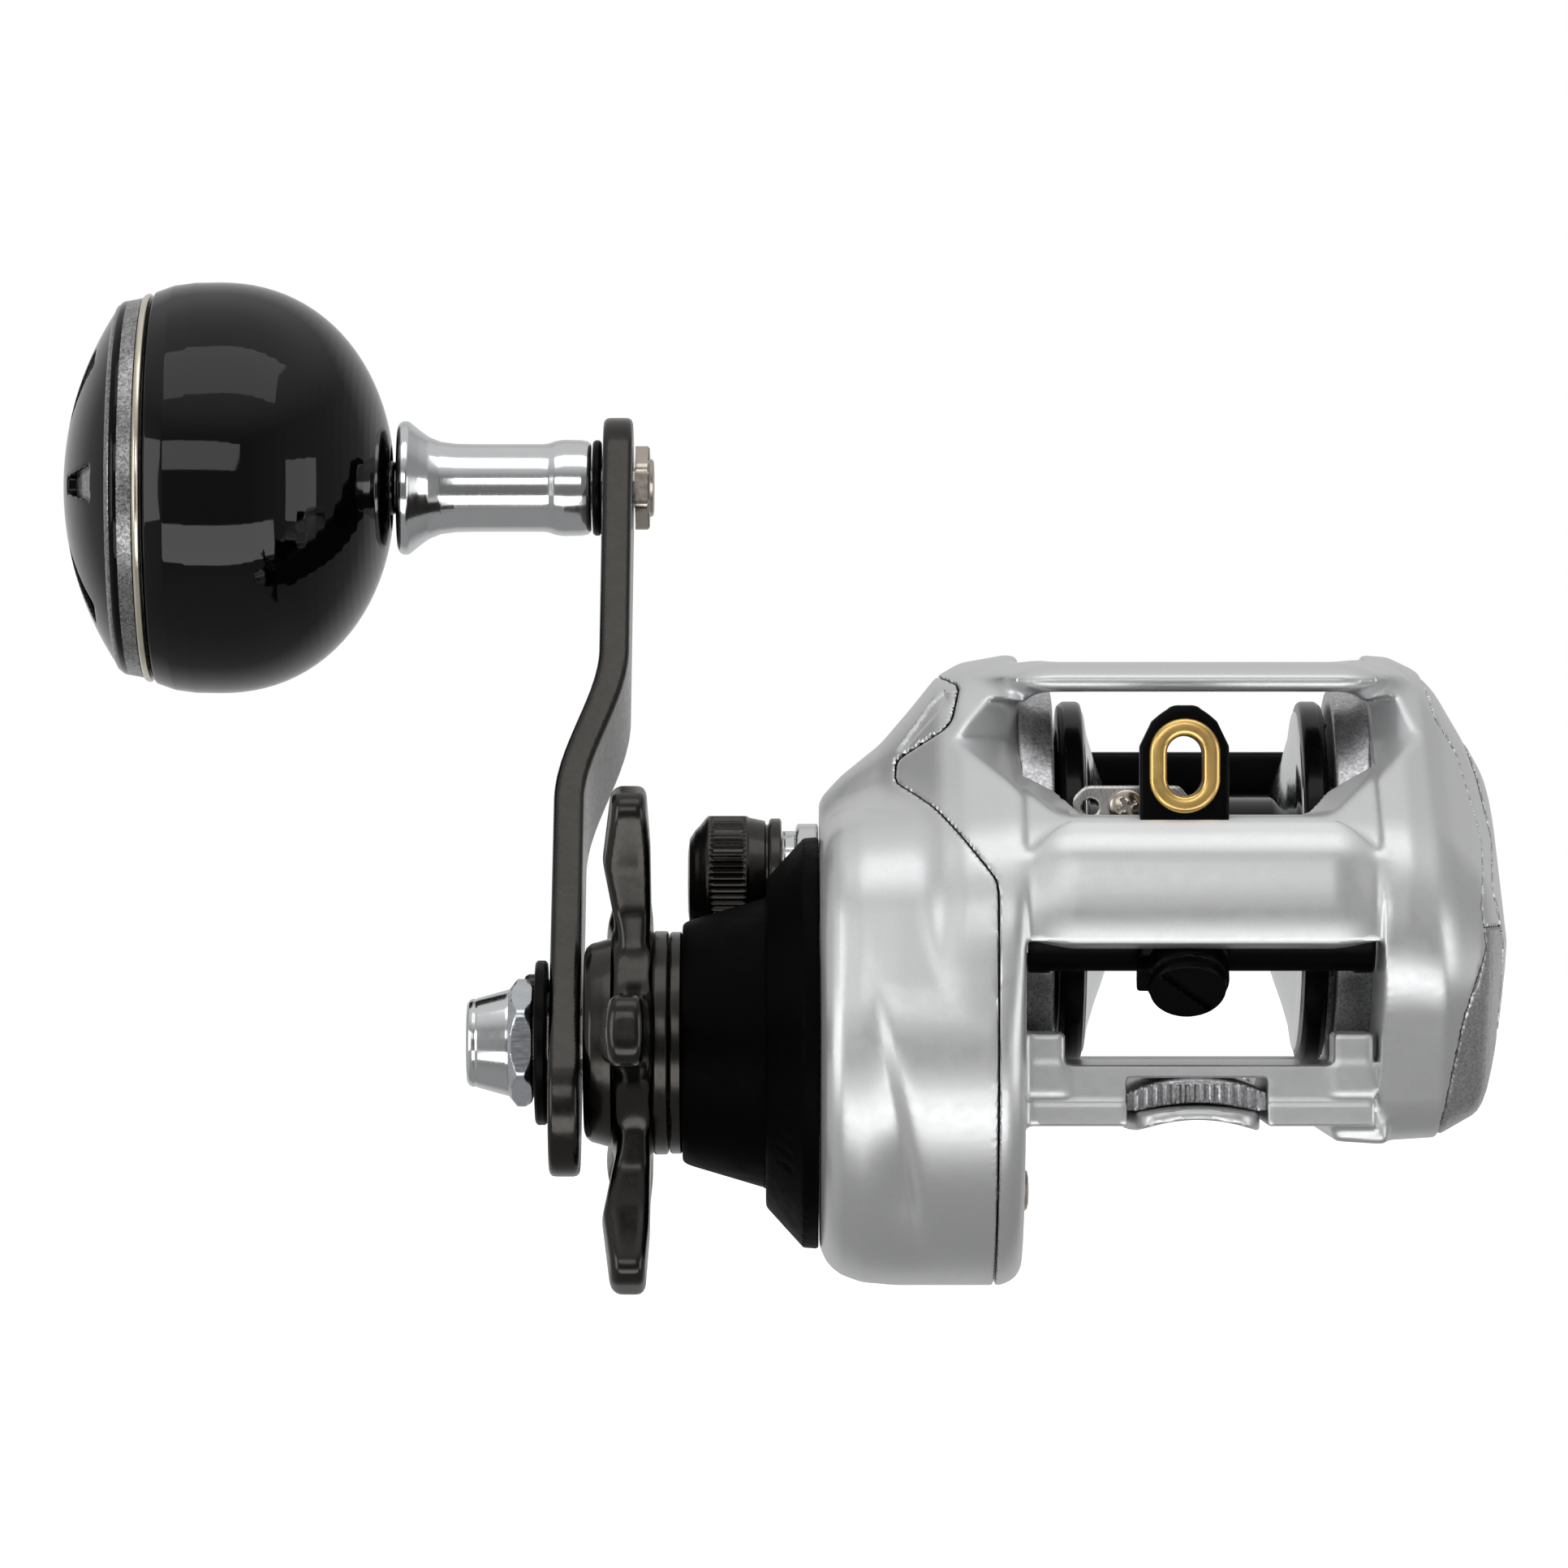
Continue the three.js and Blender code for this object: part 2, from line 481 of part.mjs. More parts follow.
function bracket() {
  const plate = plateY(
    [[-14.2, 28.6], [0, 28.6], [0, 37.6], [-1.4, 39], [-12.8, 39], [-14.2, 37.6]], -20.4, -19.4);
  const spareHole = plateY(circle(-12.1, 36.5, 1.0, 8), -30, -10);
  return cut(plate, spareHole, plateY(circle(BRACKET_SCREW.x, BRACKET_SCREW.z, 1.4, 8), -30, -10));
}
function bracketScrew() {
  const geometry = new THREE.CylinderGeometry(1.9, 2.1, 1.0, 8);
  const shank = new THREE.CylinderGeometry(1.0, 1.0, 2.4, 8);
  geometry.translate(0, -1.0 + 0.2, 0);
  shank.translate(0, 0.6, 0);
  const screw = join(solid(geometry), solid(shank));
  return screw.translate([BRACKET_SCREW.x, -20.4 - 0.6, BRACKET_SCREW.z]);
}

// ---------------------------------------------------------------- clutch
const THUMB = { x0: -12, x1: 14, y0: 26.3, y1: 31.6, z0: 37.5, z1: 43.2 };
function thumbBar() {
  const pad = plateX([
    [THUMB.y0, THUMB.z0], [THUMB.y1 - 1, THUMB.z0], [THUMB.y1, THUMB.z0 + 1.5], [THUMB.y1 - 1.2, THUMB.z1 - 1],
    [THUMB.y1 - 3, THUMB.z1], [THUMB.y0, THUMB.z1 - 1.2],
  ], THUMB.x0, THUMB.x1);
  return join(pad, box(JAMB_LEFT + 0.5, JAMB_RIGHT - 0.5, THUMB.y0 + 1.4, THUMB.y0 + 3.8, 38.4, 41.6));
}
// The yoke fork sits in the pinion's groove and lifts it off the spool's cross pin.
const YOKE = { x0: -29.6, x1: -28.5, reach: 9.5, postR: 1.2 };
// The yoke's two posts stand square to the line between the shafts, clear of the main gear.
YOKE.lean = Math.atan2(DRIVE.y - SPOOL.y, SPOOL.z - DRIVE.z);
const yokePost = (side) => ({
  y: SPOOL.y + side * YOKE.reach * Math.cos(YOKE.lean),
  z: SPOOL.z + side * YOKE.reach * Math.sin(YOKE.lean),
});
function yoke() {
  const far = YOKE.reach + 2.4;
  const blank = plateX([[-far, -3], [far, -3], [far, 3], [3.6, 4.6], [-3.6, 4.6], [-far, 3]], YOKE.x0, YOKE.x1);
  const fork = box(YOKE.x0 - 1, YOKE.x1 + 1, -2.35, 2.35, -6, 0);
  const plate = cut(blank, fork, rod({ y: 0, z: 0 }, -40, -20, 2.35, 12));
  return cut(plate.rotate([YOKE.lean / DEG, 0, 0]).translate([0, SPOOL.y, SPOOL.z]),
    ...[-1, 1].map((side) => rod(yokePost(side), -40, -20, YOKE.postR + 0.3, 8)));
}
function yokeSpring(side) {
  const post = yokePost(side);
  const turns = 3;
  const [x0, x1] = [-36.6, -32.0];
  class Coil extends THREE.Curve {
    getPoint(t, target = new THREE.Vector3()) {
      const a = t * turns * 2 * Math.PI;
      return target.set(x0 + t * (x1 - x0), post.y + 2.0 * Math.cos(a), post.z + 2.0 * Math.sin(a));
    }
  }
  const wire = new THREE.Shape(circle(0, 0, 0.32, 5).map(([a, b]) => new THREE.Vector2(a, b)));
  return solid(new THREE.ExtrudeGeometry(wire, { steps: turns * 9, bevelEnabled: false, extrudePath: new Coil() }));
}
function pinion() {
  const teeth = gear(SPOOL, -40.0, -30.6, PINION_R, PINION_TEETH, 0.6, 1.8);
  const hub = turned(SPOOL, [
    [-30.8, 1.8], [-30.8, 2.6], [-29.9, 2.6], [-29.8, 2.05], [-28.2, 2.05], [-28.1, 3.5], [-26.4, 3.5],
    [-26.4, 1.8], [-30.8, 1.8],
  ], 12);
  return join(teeth, hub);
}
function crossBar(r, length) {
  const pin = new THREE.CylinderGeometry(r, r, length, 10);
  pin.translate(-25.2, SPOOL.y, SPOOL.z);
  return solid(pin);
}
const crossPin = () => crossBar(0.55, 5.6);
const spoolShaft = () => cut(rod(SPOOL, -56.4, 30.4, SPOOL_SHAFT_R, 8), crossBar(0.85, 8));

// ---------------------------------------------------------------- drive train on the handle shaft
function driveShaft() {
  return turned(DRIVE, [
    [-80.6, 0], [-80.6, 3.3], [-80.2, SHAFT_R], [-44, SHAFT_R], [-43.6, 4.0], [-25.5, 4.0], [-25.2, 2.5],
    [-20.6, 2.5], [-20.6, 0],
  ], 12);
}
const rollerClutch = () => tube(DRIVE, -58.6, -48.0, 4.3, 9.2, 14);
const shaftBearing = () => tube(DRIVE, -47.6, -44.5, 4.1, 9.2, 14);

function mainGear() {
  const teeth = gear(DRIVE, -38.0, -33.0, MAIN_GEAR_R, PINION_TEETH * TURN_RATIO, 0.7, 4.4);
  return cut(teeth, tube(DRIVE, -39, -35.4, 6.4, 17.2, 14));
}
const pressurePlate = () => tube(DRIVE, -38.9, -36.9, 6.8, 16.7, 14);
const dragWasher = () => tube(DRIVE, -36.6, -35.7, 6.8, 16.7, 14);
const levelWindGear = () => gear(DRIVE, -30.9, -28.4, LEVEL_GEAR_R, LEVEL_GEAR_TEETH, 0.9, 4.4);
const wormGear = () => gear(WORM, -29.6, -27.0, WORM_GEAR_R, WORM_GEAR_TEETH, 0.9, 1.9);

// ---------------------------------------------------------------- star wheel
function starWheel() {
  const hub = turned(DRIVE, [
    [STAR.x0, 4.2], [STAR.x0, STAR.hub - 0.8], [STAR.x0 + 0.8, STAR.hub], [STAR.x1 - 0.6, STAR.hub],
    [STAR.x1, STAR.hub - 0.6], [STAR.x1, 7.0], [-66.0, 7.0], [-66.0, 4.2], [STAR.x0, 4.2],
  ], 14);
  // Each arm is a paddle that swells towards two thirds of its length.
  const plan = [[2, -5.5], [12, -5.2], [19, -4.0], [26, -4.6], [29.6, -3.4], [STAR.tip, 0]];
  const paddle = [...plan, ...plan.slice(0, -1).reverse().map(([s, w]) => [s, -w])];
  const side = [
    [5, STAR.x0 + 0.3], [14, STAR.x0 - 0.5], [21, STAR.x0 - 1.3], [27, STAR.x0 - 1.0], [STAR.tip, STAR.x0 - 0.1],
    [STAR.tip, STAR.x1 - 0.3], [26, STAR.x1 - 0.1], [19, STAR.x1], [5, STAR.x1 - 0.3],
  ];
  const flat = plateX(paddle.map(([s, w]) => [w, s]), STAR.x0 - 4, STAR.x1 + 4);
  const profile = plateY(side.map(([s, x]) => [x, s]), -8, 8);
  const arm = flat.intersect(profile);
  const arms = Array.from({ length: STAR.arms }, (_, i) =>
    arm.rotate([STAR.first + (i * 360) / STAR.arms, 0, 0]).translate([0, DRIVE.y, DRIVE.z]));
  return cut(join(hub, ...arms), tube(DRIVE, -66.0, -60, 4.2, 7.0, 12), rod(DRIVE, -75, -60, 4.2, 12));
}
const starNut = () => cut(plateX(circle(DRIVE.y, DRIVE.z, 6.6, 6), -65.7, -60.8), rod(DRIVE, -70, -50, 4.2));
const starClickRing = () =>
  turned(DRIVE, [
    [-63.8, 7.2], [-63.8, 12.9], [-63.4, 13.3], [-62.3, 13.3], [-61.9, 12.9], [-61.9, 7.2], [-63.8, 7.2],
  ], 14);
const noseRing = () =>
  turned(DRIVE, [
    [-61.55, 7.4], [-61.55, 12.9], [-61.3, 13.2], [-60.8, 13.2], [-60.55, 12.9], [-60.55, 7.4], [-61.55, 7.4],
  ], 14);
const bellSpacer = () =>
  turned(DRIVE, [
    [-71.95, 4.1], [-71.95, 11.3], [-71.6, 11.6], [-69.4, 12.2], [-68.8, 12.2], [-68.8, 4.1], [-71.95, 4.1],
  ], 14);

// ---------------------------------------------------------------- handle
// The handle is drawn upright from the handle shaft, then leaned by HANDLE_TILT.
const leaned = (shape) => shape.rotate([-HANDLE_TILT / DEG, 0, 0]).translate([0, DRIVE.y, DRIVE.z]);
function handleArm() {
  const { width, thick, outer, inner, bendLow, bendHigh, tail } = ARM;
  const tip = HANDLE_LENGTH;
  const half = width / 2;
  const middle = (bendLow + bendHigh) / 2;
  const shift = inner - outer;
  const bend = Array.from({ length: 9 }, (_, i) => {
    const t = i / 8;
    return [outer + shift * t * t * (3 - 2 * t), bendLow + (bendHigh - bendLow) * t];
  });
  const side = [
    [outer, tail - half - 1], ...bend, [inner, tip + half + 1], [inner + thick, tip + half + 1],
    ...bend.map(([x, s]) => [x + thick, s - 0.6]).reverse(), [outer + thick, tail - half - 1],
  ];
  const round = (s, r, from, count) =>
    Array.from({ length: count + 1 }, (_, i) => {
      const a = (from + (i / count) * 180) * DEG;
      return [r * Math.cos(a), s + r * Math.sin(a)];
    });
  const face = [
    ...round(tip, half, 0, 10), [-half + 1.6, middle], ...round(tail, half, 180, 10), [half - 1.6, middle],
  ];
  const upright = { y: 0, z: 0 };
  return leaned(cut(plateX(face, -90, -50).intersect(plateY(side, -20, 10)),
    rod(upright, -90, -50, SHAFT_R + GAP, 12),
    rod({ y: 0, z: tip }, -90, -50, KNOB_AXLE_R + GAP, 10),
    rod({ y: 0, z: 8.5 }, -90, -50, 1.0, 10)));
}
function handleNut() {
  const hex = plateX(circle(DRIVE.y, DRIVE.z, 7.45, 6, 0.2), -80.9, -77.9);
  const cap = turned(DRIVE, [[-85.9, 0], [-85.9, 4.0], [-85.2, 5.2], [-80.9, 6.35], [-80.8, 6.35], [-80.8, 0]], 14);
  return cut(join(cap, hex), rod(DRIVE, -80.9, -70, SHAFT_R + GAP, 12));
}
const retainerScrewAxis = {
  y: DRIVE.y + 8.5 * Math.sin(HANDLE_TILT),
  z: DRIVE.z + 8.5 * Math.cos(HANDLE_TILT),
};
function nutRetainer() {
  return cut(rod(DRIVE, -77.55, -76.35, 9.8, 14), rod(DRIVE, -80, -70, SHAFT_R + GAP, 12),
    rod(retainerScrewAxis, -80, -70, 1.0, 10));
}
const retainerScrew = () =>
  turned(retainerScrewAxis,
    [[-79.2, 0], [-79.2, 0.9], [-78.8, 1.3], [-77.9, 1.3], [-77.9, 0.7], [-73.2, 0.7], [-73.2, 0]], 8);

// ---------------------------------------------------------------- knob, about its own axle
const knobAxle = () => rod(KNOB, -126.6, -66.2, KNOB_AXLE_R, 10);
function knobNut() {
  const hex = plateX(circle(KNOB.y, KNOB.z, 5.3, 6, 0.3), -66.8, -65.0);
  const cap = turned(KNOB, [[-65.1, 0], [-65.1, 3.6], [-64.5, 2.9], [-64.5, 0]], 10);
  return cut(join(hex, cap), rod(KNOB, -70, -65.9, KNOB_AXLE_R + GAP, 10));
}
const knobWasher = () => tube(KNOB, -72.0, -71.15, KNOB_AXLE_R + GAP, 6.0, 12);
function knobSleeve() {
  const bore = KNOB_AXLE_R + 0.4;
  return turned(KNOB, [
    [-96.6, bore], [-96.6, 7.9], [-96.2, 8.4], [-95.3, 8.4], [-94.6, 7.2], [-93.2, 6.1], [-91.1, 5.6],
    [-77.8, 5.6], [-77.3, 4.9], [-76.8, 5.7], [-74.5, 6.1], [-72.3, 5.7], [-72.3, bore], [-96.6, bore],
  ], 14);
}
function knobBall() {
  const bore = KNOB_AXLE_R + 0.5;
  const pocket = 4.9;
  const [seam, neck, middle] = [-127.5, -98.0, -121.8];
  const length = 24.6; // from the widest place to the end of the ball
  const profile = [[seam, pocket], [seam, 24.7]];
  const steps = 8;
  for (let i = 0; i <= steps; i++) {
    const a = -8 * DEG + (i / steps) * 92 * DEG;
    profile.push([middle + length * Math.sin(a), KNOB_R * Math.cos(a)]);
  }
  profile.push([neck + 0.6, 3.4], [neck, 3.4 + 0.6]);
  const ordered = profile.filter(([x]) => x <= neck).concat([[neck, 3.6]]);
  ordered.push([neck, bore], [-108, bore], [-108, pocket], [seam, pocket]);
  return turned(KNOB, ordered, 18);
}
const knobBearing = (x) => tube(KNOB, x, x + 2.6, KNOB_AXLE_R + 0.15, 4.6, 10);
const knobRing = () => tube(KNOB, -128.5, -127.8, 20, 24.5, 18);
const CAP = { seam: -130.9, apex: -138.6, r: 24.0 };
const domeX = (r, apex, seam, rim) =>
  apex + (seam - apex) * (1 - Math.sqrt(1 - Math.min(1, (r / rim) ** 2)) ** 0.75);
function knobCap() {
  const steps = 5;
  const outer = Array.from({ length: steps + 1 }, (_, i) => {
    const r = CAP.r * Math.sin((i / steps) * 90 * DEG);
    return [domeX(r, CAP.apex, CAP.seam, CAP.r), r];
  });
  const inner = Array.from({ length: steps + 1 }, (_, i) => {
    const r = (CAP.r - 1.4) * Math.sin((i / steps) * 90 * DEG);
    return [domeX(r, CAP.apex + 1.3, CAP.seam, CAP.r - 1.4), r];
  }).reverse();
  const shell = turned(KNOB, [...outer, ...inner], 18);
  const windows = Array.from({ length: 6 }, (_, i) =>
    plateX([[-2.6, 9.5], [2.6, 9.5], [5.2, 18], [-5.2, 18]], -145, -120)
      .rotate([i * 60, 0, 0])
      .translate([0, KNOB.y, KNOB.z]));
  return cut(shell, ...windows);
}
function knobInsert() {
  const rim = CAP.r - 1.4 - GAP;
  const steps = 5;
  const dome = Array.from({ length: steps + 1 }, (_, i) => {
    const r = rim * Math.sin((i / steps) * 90 * DEG);
    return [domeX(r, CAP.apex + 1.3 + GAP, CAP.seam, rim), r];
  });
  return turned(KNOB, [...dome, [CAP.seam + GAP, rim], [CAP.seam + GAP, 24.2], [-128.8, 24.2], [-128.8, 0]], 18);
}

// ---------------------------------------------------------------- assembly
add("frame", frame(), silverPaint);
add("reel_foot", reelFoot(), bareCasting);
footScrews.forEach(([x, y], i) => add("foot_screw_" + (i + 1), footScrew(x, y), steel));
sideScrews.forEach((place, i) =>
  add("side_screw_" + (i + 1), screwHeadIn(place, JAMB_LEFT + GAP, 2.6, 1.3, 3.4), steel));
add("gear_side_cover", gearSideCover(), silverPaint);
add("nose_housing", noseHousing(), matteBlack);
add("nose_ring", noseRing(), gunmetal);
add("roller_clutch", rollerClutch(), steel);
add("shaft_bearing", shaftBearing(), steel);
add("cast_control_boss", castControlBoss(), silverPaint);
add("spool_bearing_gear_side", tube(SPOOL, -23.1, -20.3, 1.7, 5.1, 12), steel);
add("palm_side_band", palmSideBand(), bareCasting);
add("palm_side_cover", palmSideCover(), silverPaint);
add("brake_case", brakeCase(), blackPlastic);
add("spool_bearing_palm_side", tube(SPOOL, 26.9, 29.4, 1.7, 3.7, 12), steel);
add("worm_tube", wormTube(), blackPlastic);
add("guide_bar", rod(GUIDE_BAR, JAMB_LEFT + GAP, JAMB_RIGHT - GAP, GUIDE_BAR.r, 8), steel);
add("bracket", bracket(), steel);
add("bracket_screw", bracketScrew(), steel);
[-1, 1].forEach((side, i) => add("yoke_spring_" + (i + 1), yokeSpring(side), steel));
add("spool", spool(), matteBlack);
add("spool_shaft", spoolShaft(), steel);
add("cross_pin", crossPin(), steel);
add("brake_rotor", brakeRotor(), steel);
add("pinion", pinion(), brass);
add("clutch_yoke", yoke(), steel);
add("thumb_bar", thumbBar(), blackPlastic);
add("worm_shaft", wormShaft(), steel);
add("worm_gear", wormGear(), blackPlastic);
add("line_guide", lineGuide(), blackPlastic);
add("line_ring", lineRing(), gold);
add("pawl", pawl(), steel);
add("pawl_cap", pawlCap(), blackPlastic);
add("drive_shaft", driveShaft(), steel);
add("main_gear", mainGear(), brass);
add("drag_washer", dragWasher(), carbon);
add("drag_pressure_plate", pressurePlate(), steel);
add("level_wind_gear", levelWindGear(), brass);
add("bell_spacer", bellSpacer(), gunmetal);
add("handle_arm", handleArm(), gunmetal);
add("handle_nut", handleNut(), chrome);
add("nut_retainer", nutRetainer(), blackPlastic);
add("retainer_screw", retainerScrew(), steel);
add("star_wheel", starWheel(), gunmetal);
add("star_nut", starNut(), brass);
add("star_click_ring", starClickRing(), gunmetal);
add("cast_control_cap", castControlCap(), gunmetal);
add("knob_axle", knobAxle(), steel);
add("knob_nut", knobNut(), steel);
add("knob_washer", knobWasher(), blackPlastic);
add("knob_sleeve", knobSleeve(), chrome);
add("knob_ball", knobBall(), glossBlack);
add("knob_bearing_inner", knobBearing(-110.9), steel);
add("knob_bearing_outer", knobBearing(-124.4), steel);
add("knob_ring", knobRing(), gold);
add("knob_insert", knobInsert(), glitter);
add("knob_cap", knobCap(), chrome);

export default reel;
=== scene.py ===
"""Looks of the baitcasting reel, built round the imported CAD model. Lengths are in mm."""

import json
import math

import bpy
import numpy as np
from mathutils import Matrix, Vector


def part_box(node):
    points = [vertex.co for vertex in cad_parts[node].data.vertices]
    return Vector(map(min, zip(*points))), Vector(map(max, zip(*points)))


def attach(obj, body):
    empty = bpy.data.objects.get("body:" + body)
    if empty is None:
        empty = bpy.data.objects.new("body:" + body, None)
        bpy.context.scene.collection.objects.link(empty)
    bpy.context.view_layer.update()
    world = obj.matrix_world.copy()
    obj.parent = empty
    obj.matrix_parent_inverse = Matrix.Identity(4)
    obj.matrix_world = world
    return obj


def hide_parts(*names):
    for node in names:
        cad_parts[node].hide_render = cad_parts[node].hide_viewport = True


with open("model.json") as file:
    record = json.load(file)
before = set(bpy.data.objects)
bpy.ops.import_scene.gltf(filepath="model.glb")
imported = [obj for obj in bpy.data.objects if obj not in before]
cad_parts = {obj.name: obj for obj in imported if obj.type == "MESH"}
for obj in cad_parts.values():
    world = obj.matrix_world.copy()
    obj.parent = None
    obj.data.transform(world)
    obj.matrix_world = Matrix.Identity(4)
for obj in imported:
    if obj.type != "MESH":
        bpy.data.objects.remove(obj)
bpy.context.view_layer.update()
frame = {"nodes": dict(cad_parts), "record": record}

# ---- places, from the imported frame
MM = 1000.0
JOINTS = {joint["name"]: joint for joint in frame["record"]["behaviour"]["joints"]}


def joint_axis(name):
    """The (y, z) of a joint's axis along X, in mm."""
    _, y, z = JOINTS[name]["pos_m"]
    return y * MM, z * MM


def span(node, axis):
    """A node's lowest and highest coordinate along one axis (0 to 2), in mm."""
    low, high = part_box(node)
    return low[axis] * MM, high[axis] * MM


DRIVE = joint_axis("handle_spin")
SPOOL = joint_axis("spool_spin")
WORM = joint_axis("worm_spin")
KNOB = joint_axis("knob_spin")
FOOT_X = span("reel_foot", 0)
HANDLE_TILT = math.atan2(KNOB[0] - DRIVE[0], KNOB[1] - DRIVE[1])
HANDLE_LENGTH = math.hypot(KNOB[0] - DRIVE[0], KNOB[1] - DRIVE[1])

CASE_R = 28.8  # gear-side case about the handle shaft
FRAME_R = 27.4  # frame about the spool axis
FRONT = (-20.5, 21.5, 17.7)  # y, z, radius of the body's front end
JAMB_LEFT, JAMB_RIGHT = -20.1, 21.3
SEAM = 0.1  # half the dark line between two shells
PALM_GAP = 0.2  # half the gap on each side of the palm band, and how far the band stands back


# ---- distance fields (arrays in, arrays out)
def smin(a, b, k):
    """The union of two fields with a fillet of about k."""
    h = np.clip(0.5 + 0.5 * (b - a) / k, 0, 1)
    return b + (a - b) * h - k * h * (1 - h)


def smax(a, b, k):
    """The overlap of two fields with a rounded edge of about k."""
    return -smin(-a, -b, k)


def ramp(t, low, high):
    """A smooth 0 to 1 between low and high."""
    s = np.clip((t - low) / (high - low), 0, 1)
    return s * s * (3 - 2 * s)


def along(t, stops):
    """Smooth interpolation through (place, value) stops."""
    places, values = zip(*stops)
    base = np.interp(t, places, values)
    step = 0.6
    return (np.interp(t - step, places, values) + 2 * base + np.interp(t + step, places, values)) / 4


def discs_field(y, z, discs):
    """The distance to the outline stretched round the discs. A grid's layers along x are all the same."""
    if y.ndim == 3:
        y, z = y[:1], z[:1]
    out = None
    for i, a in enumerate(discs):
        for b in discs[i + 1:] or [a]:
            bar = tapered_bar(y, z, a, b)
            out = bar if out is None else np.minimum(out, bar)
    return out


def stretched_outline(discs, count=144):
    """The corners of the outline stretched round the discs, counter-clockwise."""
    points = sorted(
        (cy + r * math.cos(2 * math.pi * i / count) / math.cos(math.pi / count),
         cz + r * math.sin(2 * math.pi * i / count) / math.cos(math.pi / count))
        for cy, cz, r in discs for i in range(count))
    halves = []
    for ordered in (points, points[::-1]):
        half = []
        for p in ordered:
            while len(half) > 1 and ((half[-1][0] - half[-2][0]) * (p[1] - half[-2][1])
                                     - (half[-1][1] - half[-2][1]) * (p[0] - half[-2][0])) <= 1e-9:
                half.pop()
            half.append(p)
        halves.append(half[:-1])
    return halves[0] + halves[1]


def inset_field(y, z, outline):
    """The distance to a convex outline, true all the way to the middle of its inside."""
    if y.ndim == 3:
        y, z = y[:1], z[:1]
    out = np.full(np.broadcast(y, z).shape, -1e9)
    for (y0, z0), (y1, z1) in zip(outline, outline[1:] + outline[:1]):
        length = math.hypot(y1 - y0, z1 - z0)
        if length > 1e-6:
            out = np.maximum(out, ((y - y0) * (z1 - z0) - (z - z0) * (y1 - y0)) / length)
    return out


def tapered_bar(y, z, a, b):
    """Distance to the hull of two discs."""
    dy, dz = b[0] - a[0], b[1] - a[1]
    length = math.hypot(dy, dz)
    if length < 1e-6 or length <= abs(a[2] - b[2]):
        big = a if a[2] >= b[2] else b
        return radius_about(big, y, z) - big[2]
    ey, ez = dy / length, dz / length
    s = (y - a[0]) * ey + (z - a[1]) * ez
    w = np.abs((y - a[0]) * -ez + (z - a[1]) * ey)
    lean = (a[2] - b[2]) / length
    slope = math.sqrt(1 - lean * lean)
    t = np.clip((s - w * lean / slope) / length, 0, 1) * length
    return np.hypot(s - t, w) - (a[2] + (b[2] - a[2]) * t / length)


def polygon_field(u, v, points, k=0.6):
    """A convex outline of (u, v) points, counter-clockwise, with rounded corners."""
    out = None
    for (u0, v0), (u1, v1) in zip(points, points[1:] + points[:1]):
        length = math.hypot(u1 - u0, v1 - v0)
        nu, nv = (v1 - v0) / length, (u0 - u1) / length
        edge = (u - u0) * nu + (v - v0) * nv
        out = edge if out is None else smax(out, edge, k)
    return out


def box_field(x, y, z, low, high, k=0.5):
    """A box with rounded edges."""
    out = None
    for value, a, b in ((x, low[0], high[0]), (y, low[1], high[1]), (z, low[2], high[2])):
        side = np.maximum(a - value, value - b)
        out = side if out is None else smax(out, side, k)
    return out


def slab(x, low, high):
    """Negative between low and high."""
    return np.maximum(low - x, x - high)


def radius_about(axis, y, z):
    """The distance from an axis along X, which is given as its (y, z)."""
    return np.hypot(y - axis[0], z - axis[1])


# ---- meshes
def new_object(name, vertices_mm, faces):
    """A mesh object from its corners, in mm, and its faces."""
    mesh = bpy.data.meshes.new(name)
    vertices = np.asarray(vertices_mm, dtype=np.float32) / MM
    mesh.vertices.add(len(vertices))
    mesh.vertices.foreach_set("co", vertices.ravel())
    sizes = np.fromiter((len(f) for f in faces), dtype=np.int32, count=len(faces))
    loops = np.concatenate([np.asarray(f, dtype=np.int32) for f in faces])
    mesh.loops.add(len(loops))
    mesh.loops.foreach_set("vertex_index", loops)
    mesh.polygons.add(len(faces))
    mesh.polygons.foreach_set("loop_start", np.concatenate([[0], np.cumsum(sizes)[:-1]]).astype(np.int32))
    mesh.update(calc_edges=True)
    mesh.validate()
    obj = bpy.data.objects.new(name, mesh)
    bpy.context.scene.collection.objects.link(obj)
    return obj


def smooth(obj, degrees=32):
    """Smooth shading that keeps edges sharper than the angle."""
    obj.data.polygons.foreach_set("use_smooth", np.ones(len(obj.data.polygons), dtype=bool))
    obj.data.set_sharp_from_angle(angle=math.radians(degrees))
    return obj


POINTS_AT_ONCE = 1.2e6  # grid points for which a field is worked out in one go, to save memory


def surface(name, field, low, high, step, sharp=32, passes=3):
    """A closed mesh of a field's zero surface: one vertex per crossed cell, pulled onto the surface."""
    axes = [np.arange(a - 2 * step, b + 3 * step, step, dtype=np.float32) for a, b in zip(low, high)]
    value = np.empty([len(a) for a in axes], dtype=np.float32)
    y, z = np.meshgrid(axes[1], axes[2], indexing="ij")
    chunk = max(1, int(POINTS_AT_ONCE // y.size))
    for start in range(0, len(axes[0]), chunk):
        x = axes[0][start:start + chunk, None, None]
        shape = (x.shape[0],) + y.shape
        value[start:start + chunk] = field(
            np.broadcast_to(x, shape), np.broadcast_to(y, shape), np.broadcast_to(z, shape))
    inside = value < 0
    corner_count = sum(
        inside[i:i - 1 or None, j:j - 1 or None, k:k - 1 or None].astype(np.int8)
        for i in (0, 1) for j in (0, 1) for k in (0, 1))
    mixed = (corner_count > 0) & (corner_count < 8)
    number = np.full(mixed.shape, -1, dtype=np.int64)
    cells = np.argwhere(mixed)
    number[mixed] = np.arange(len(cells))
    points = start_points(value, cells, axes, step)
    for _ in range(passes):
        points = pull(points, field, step)
    faces = crossing_faces(inside, number)
    obj = new_object(name, points, faces)
    return smooth(obj, sharp)


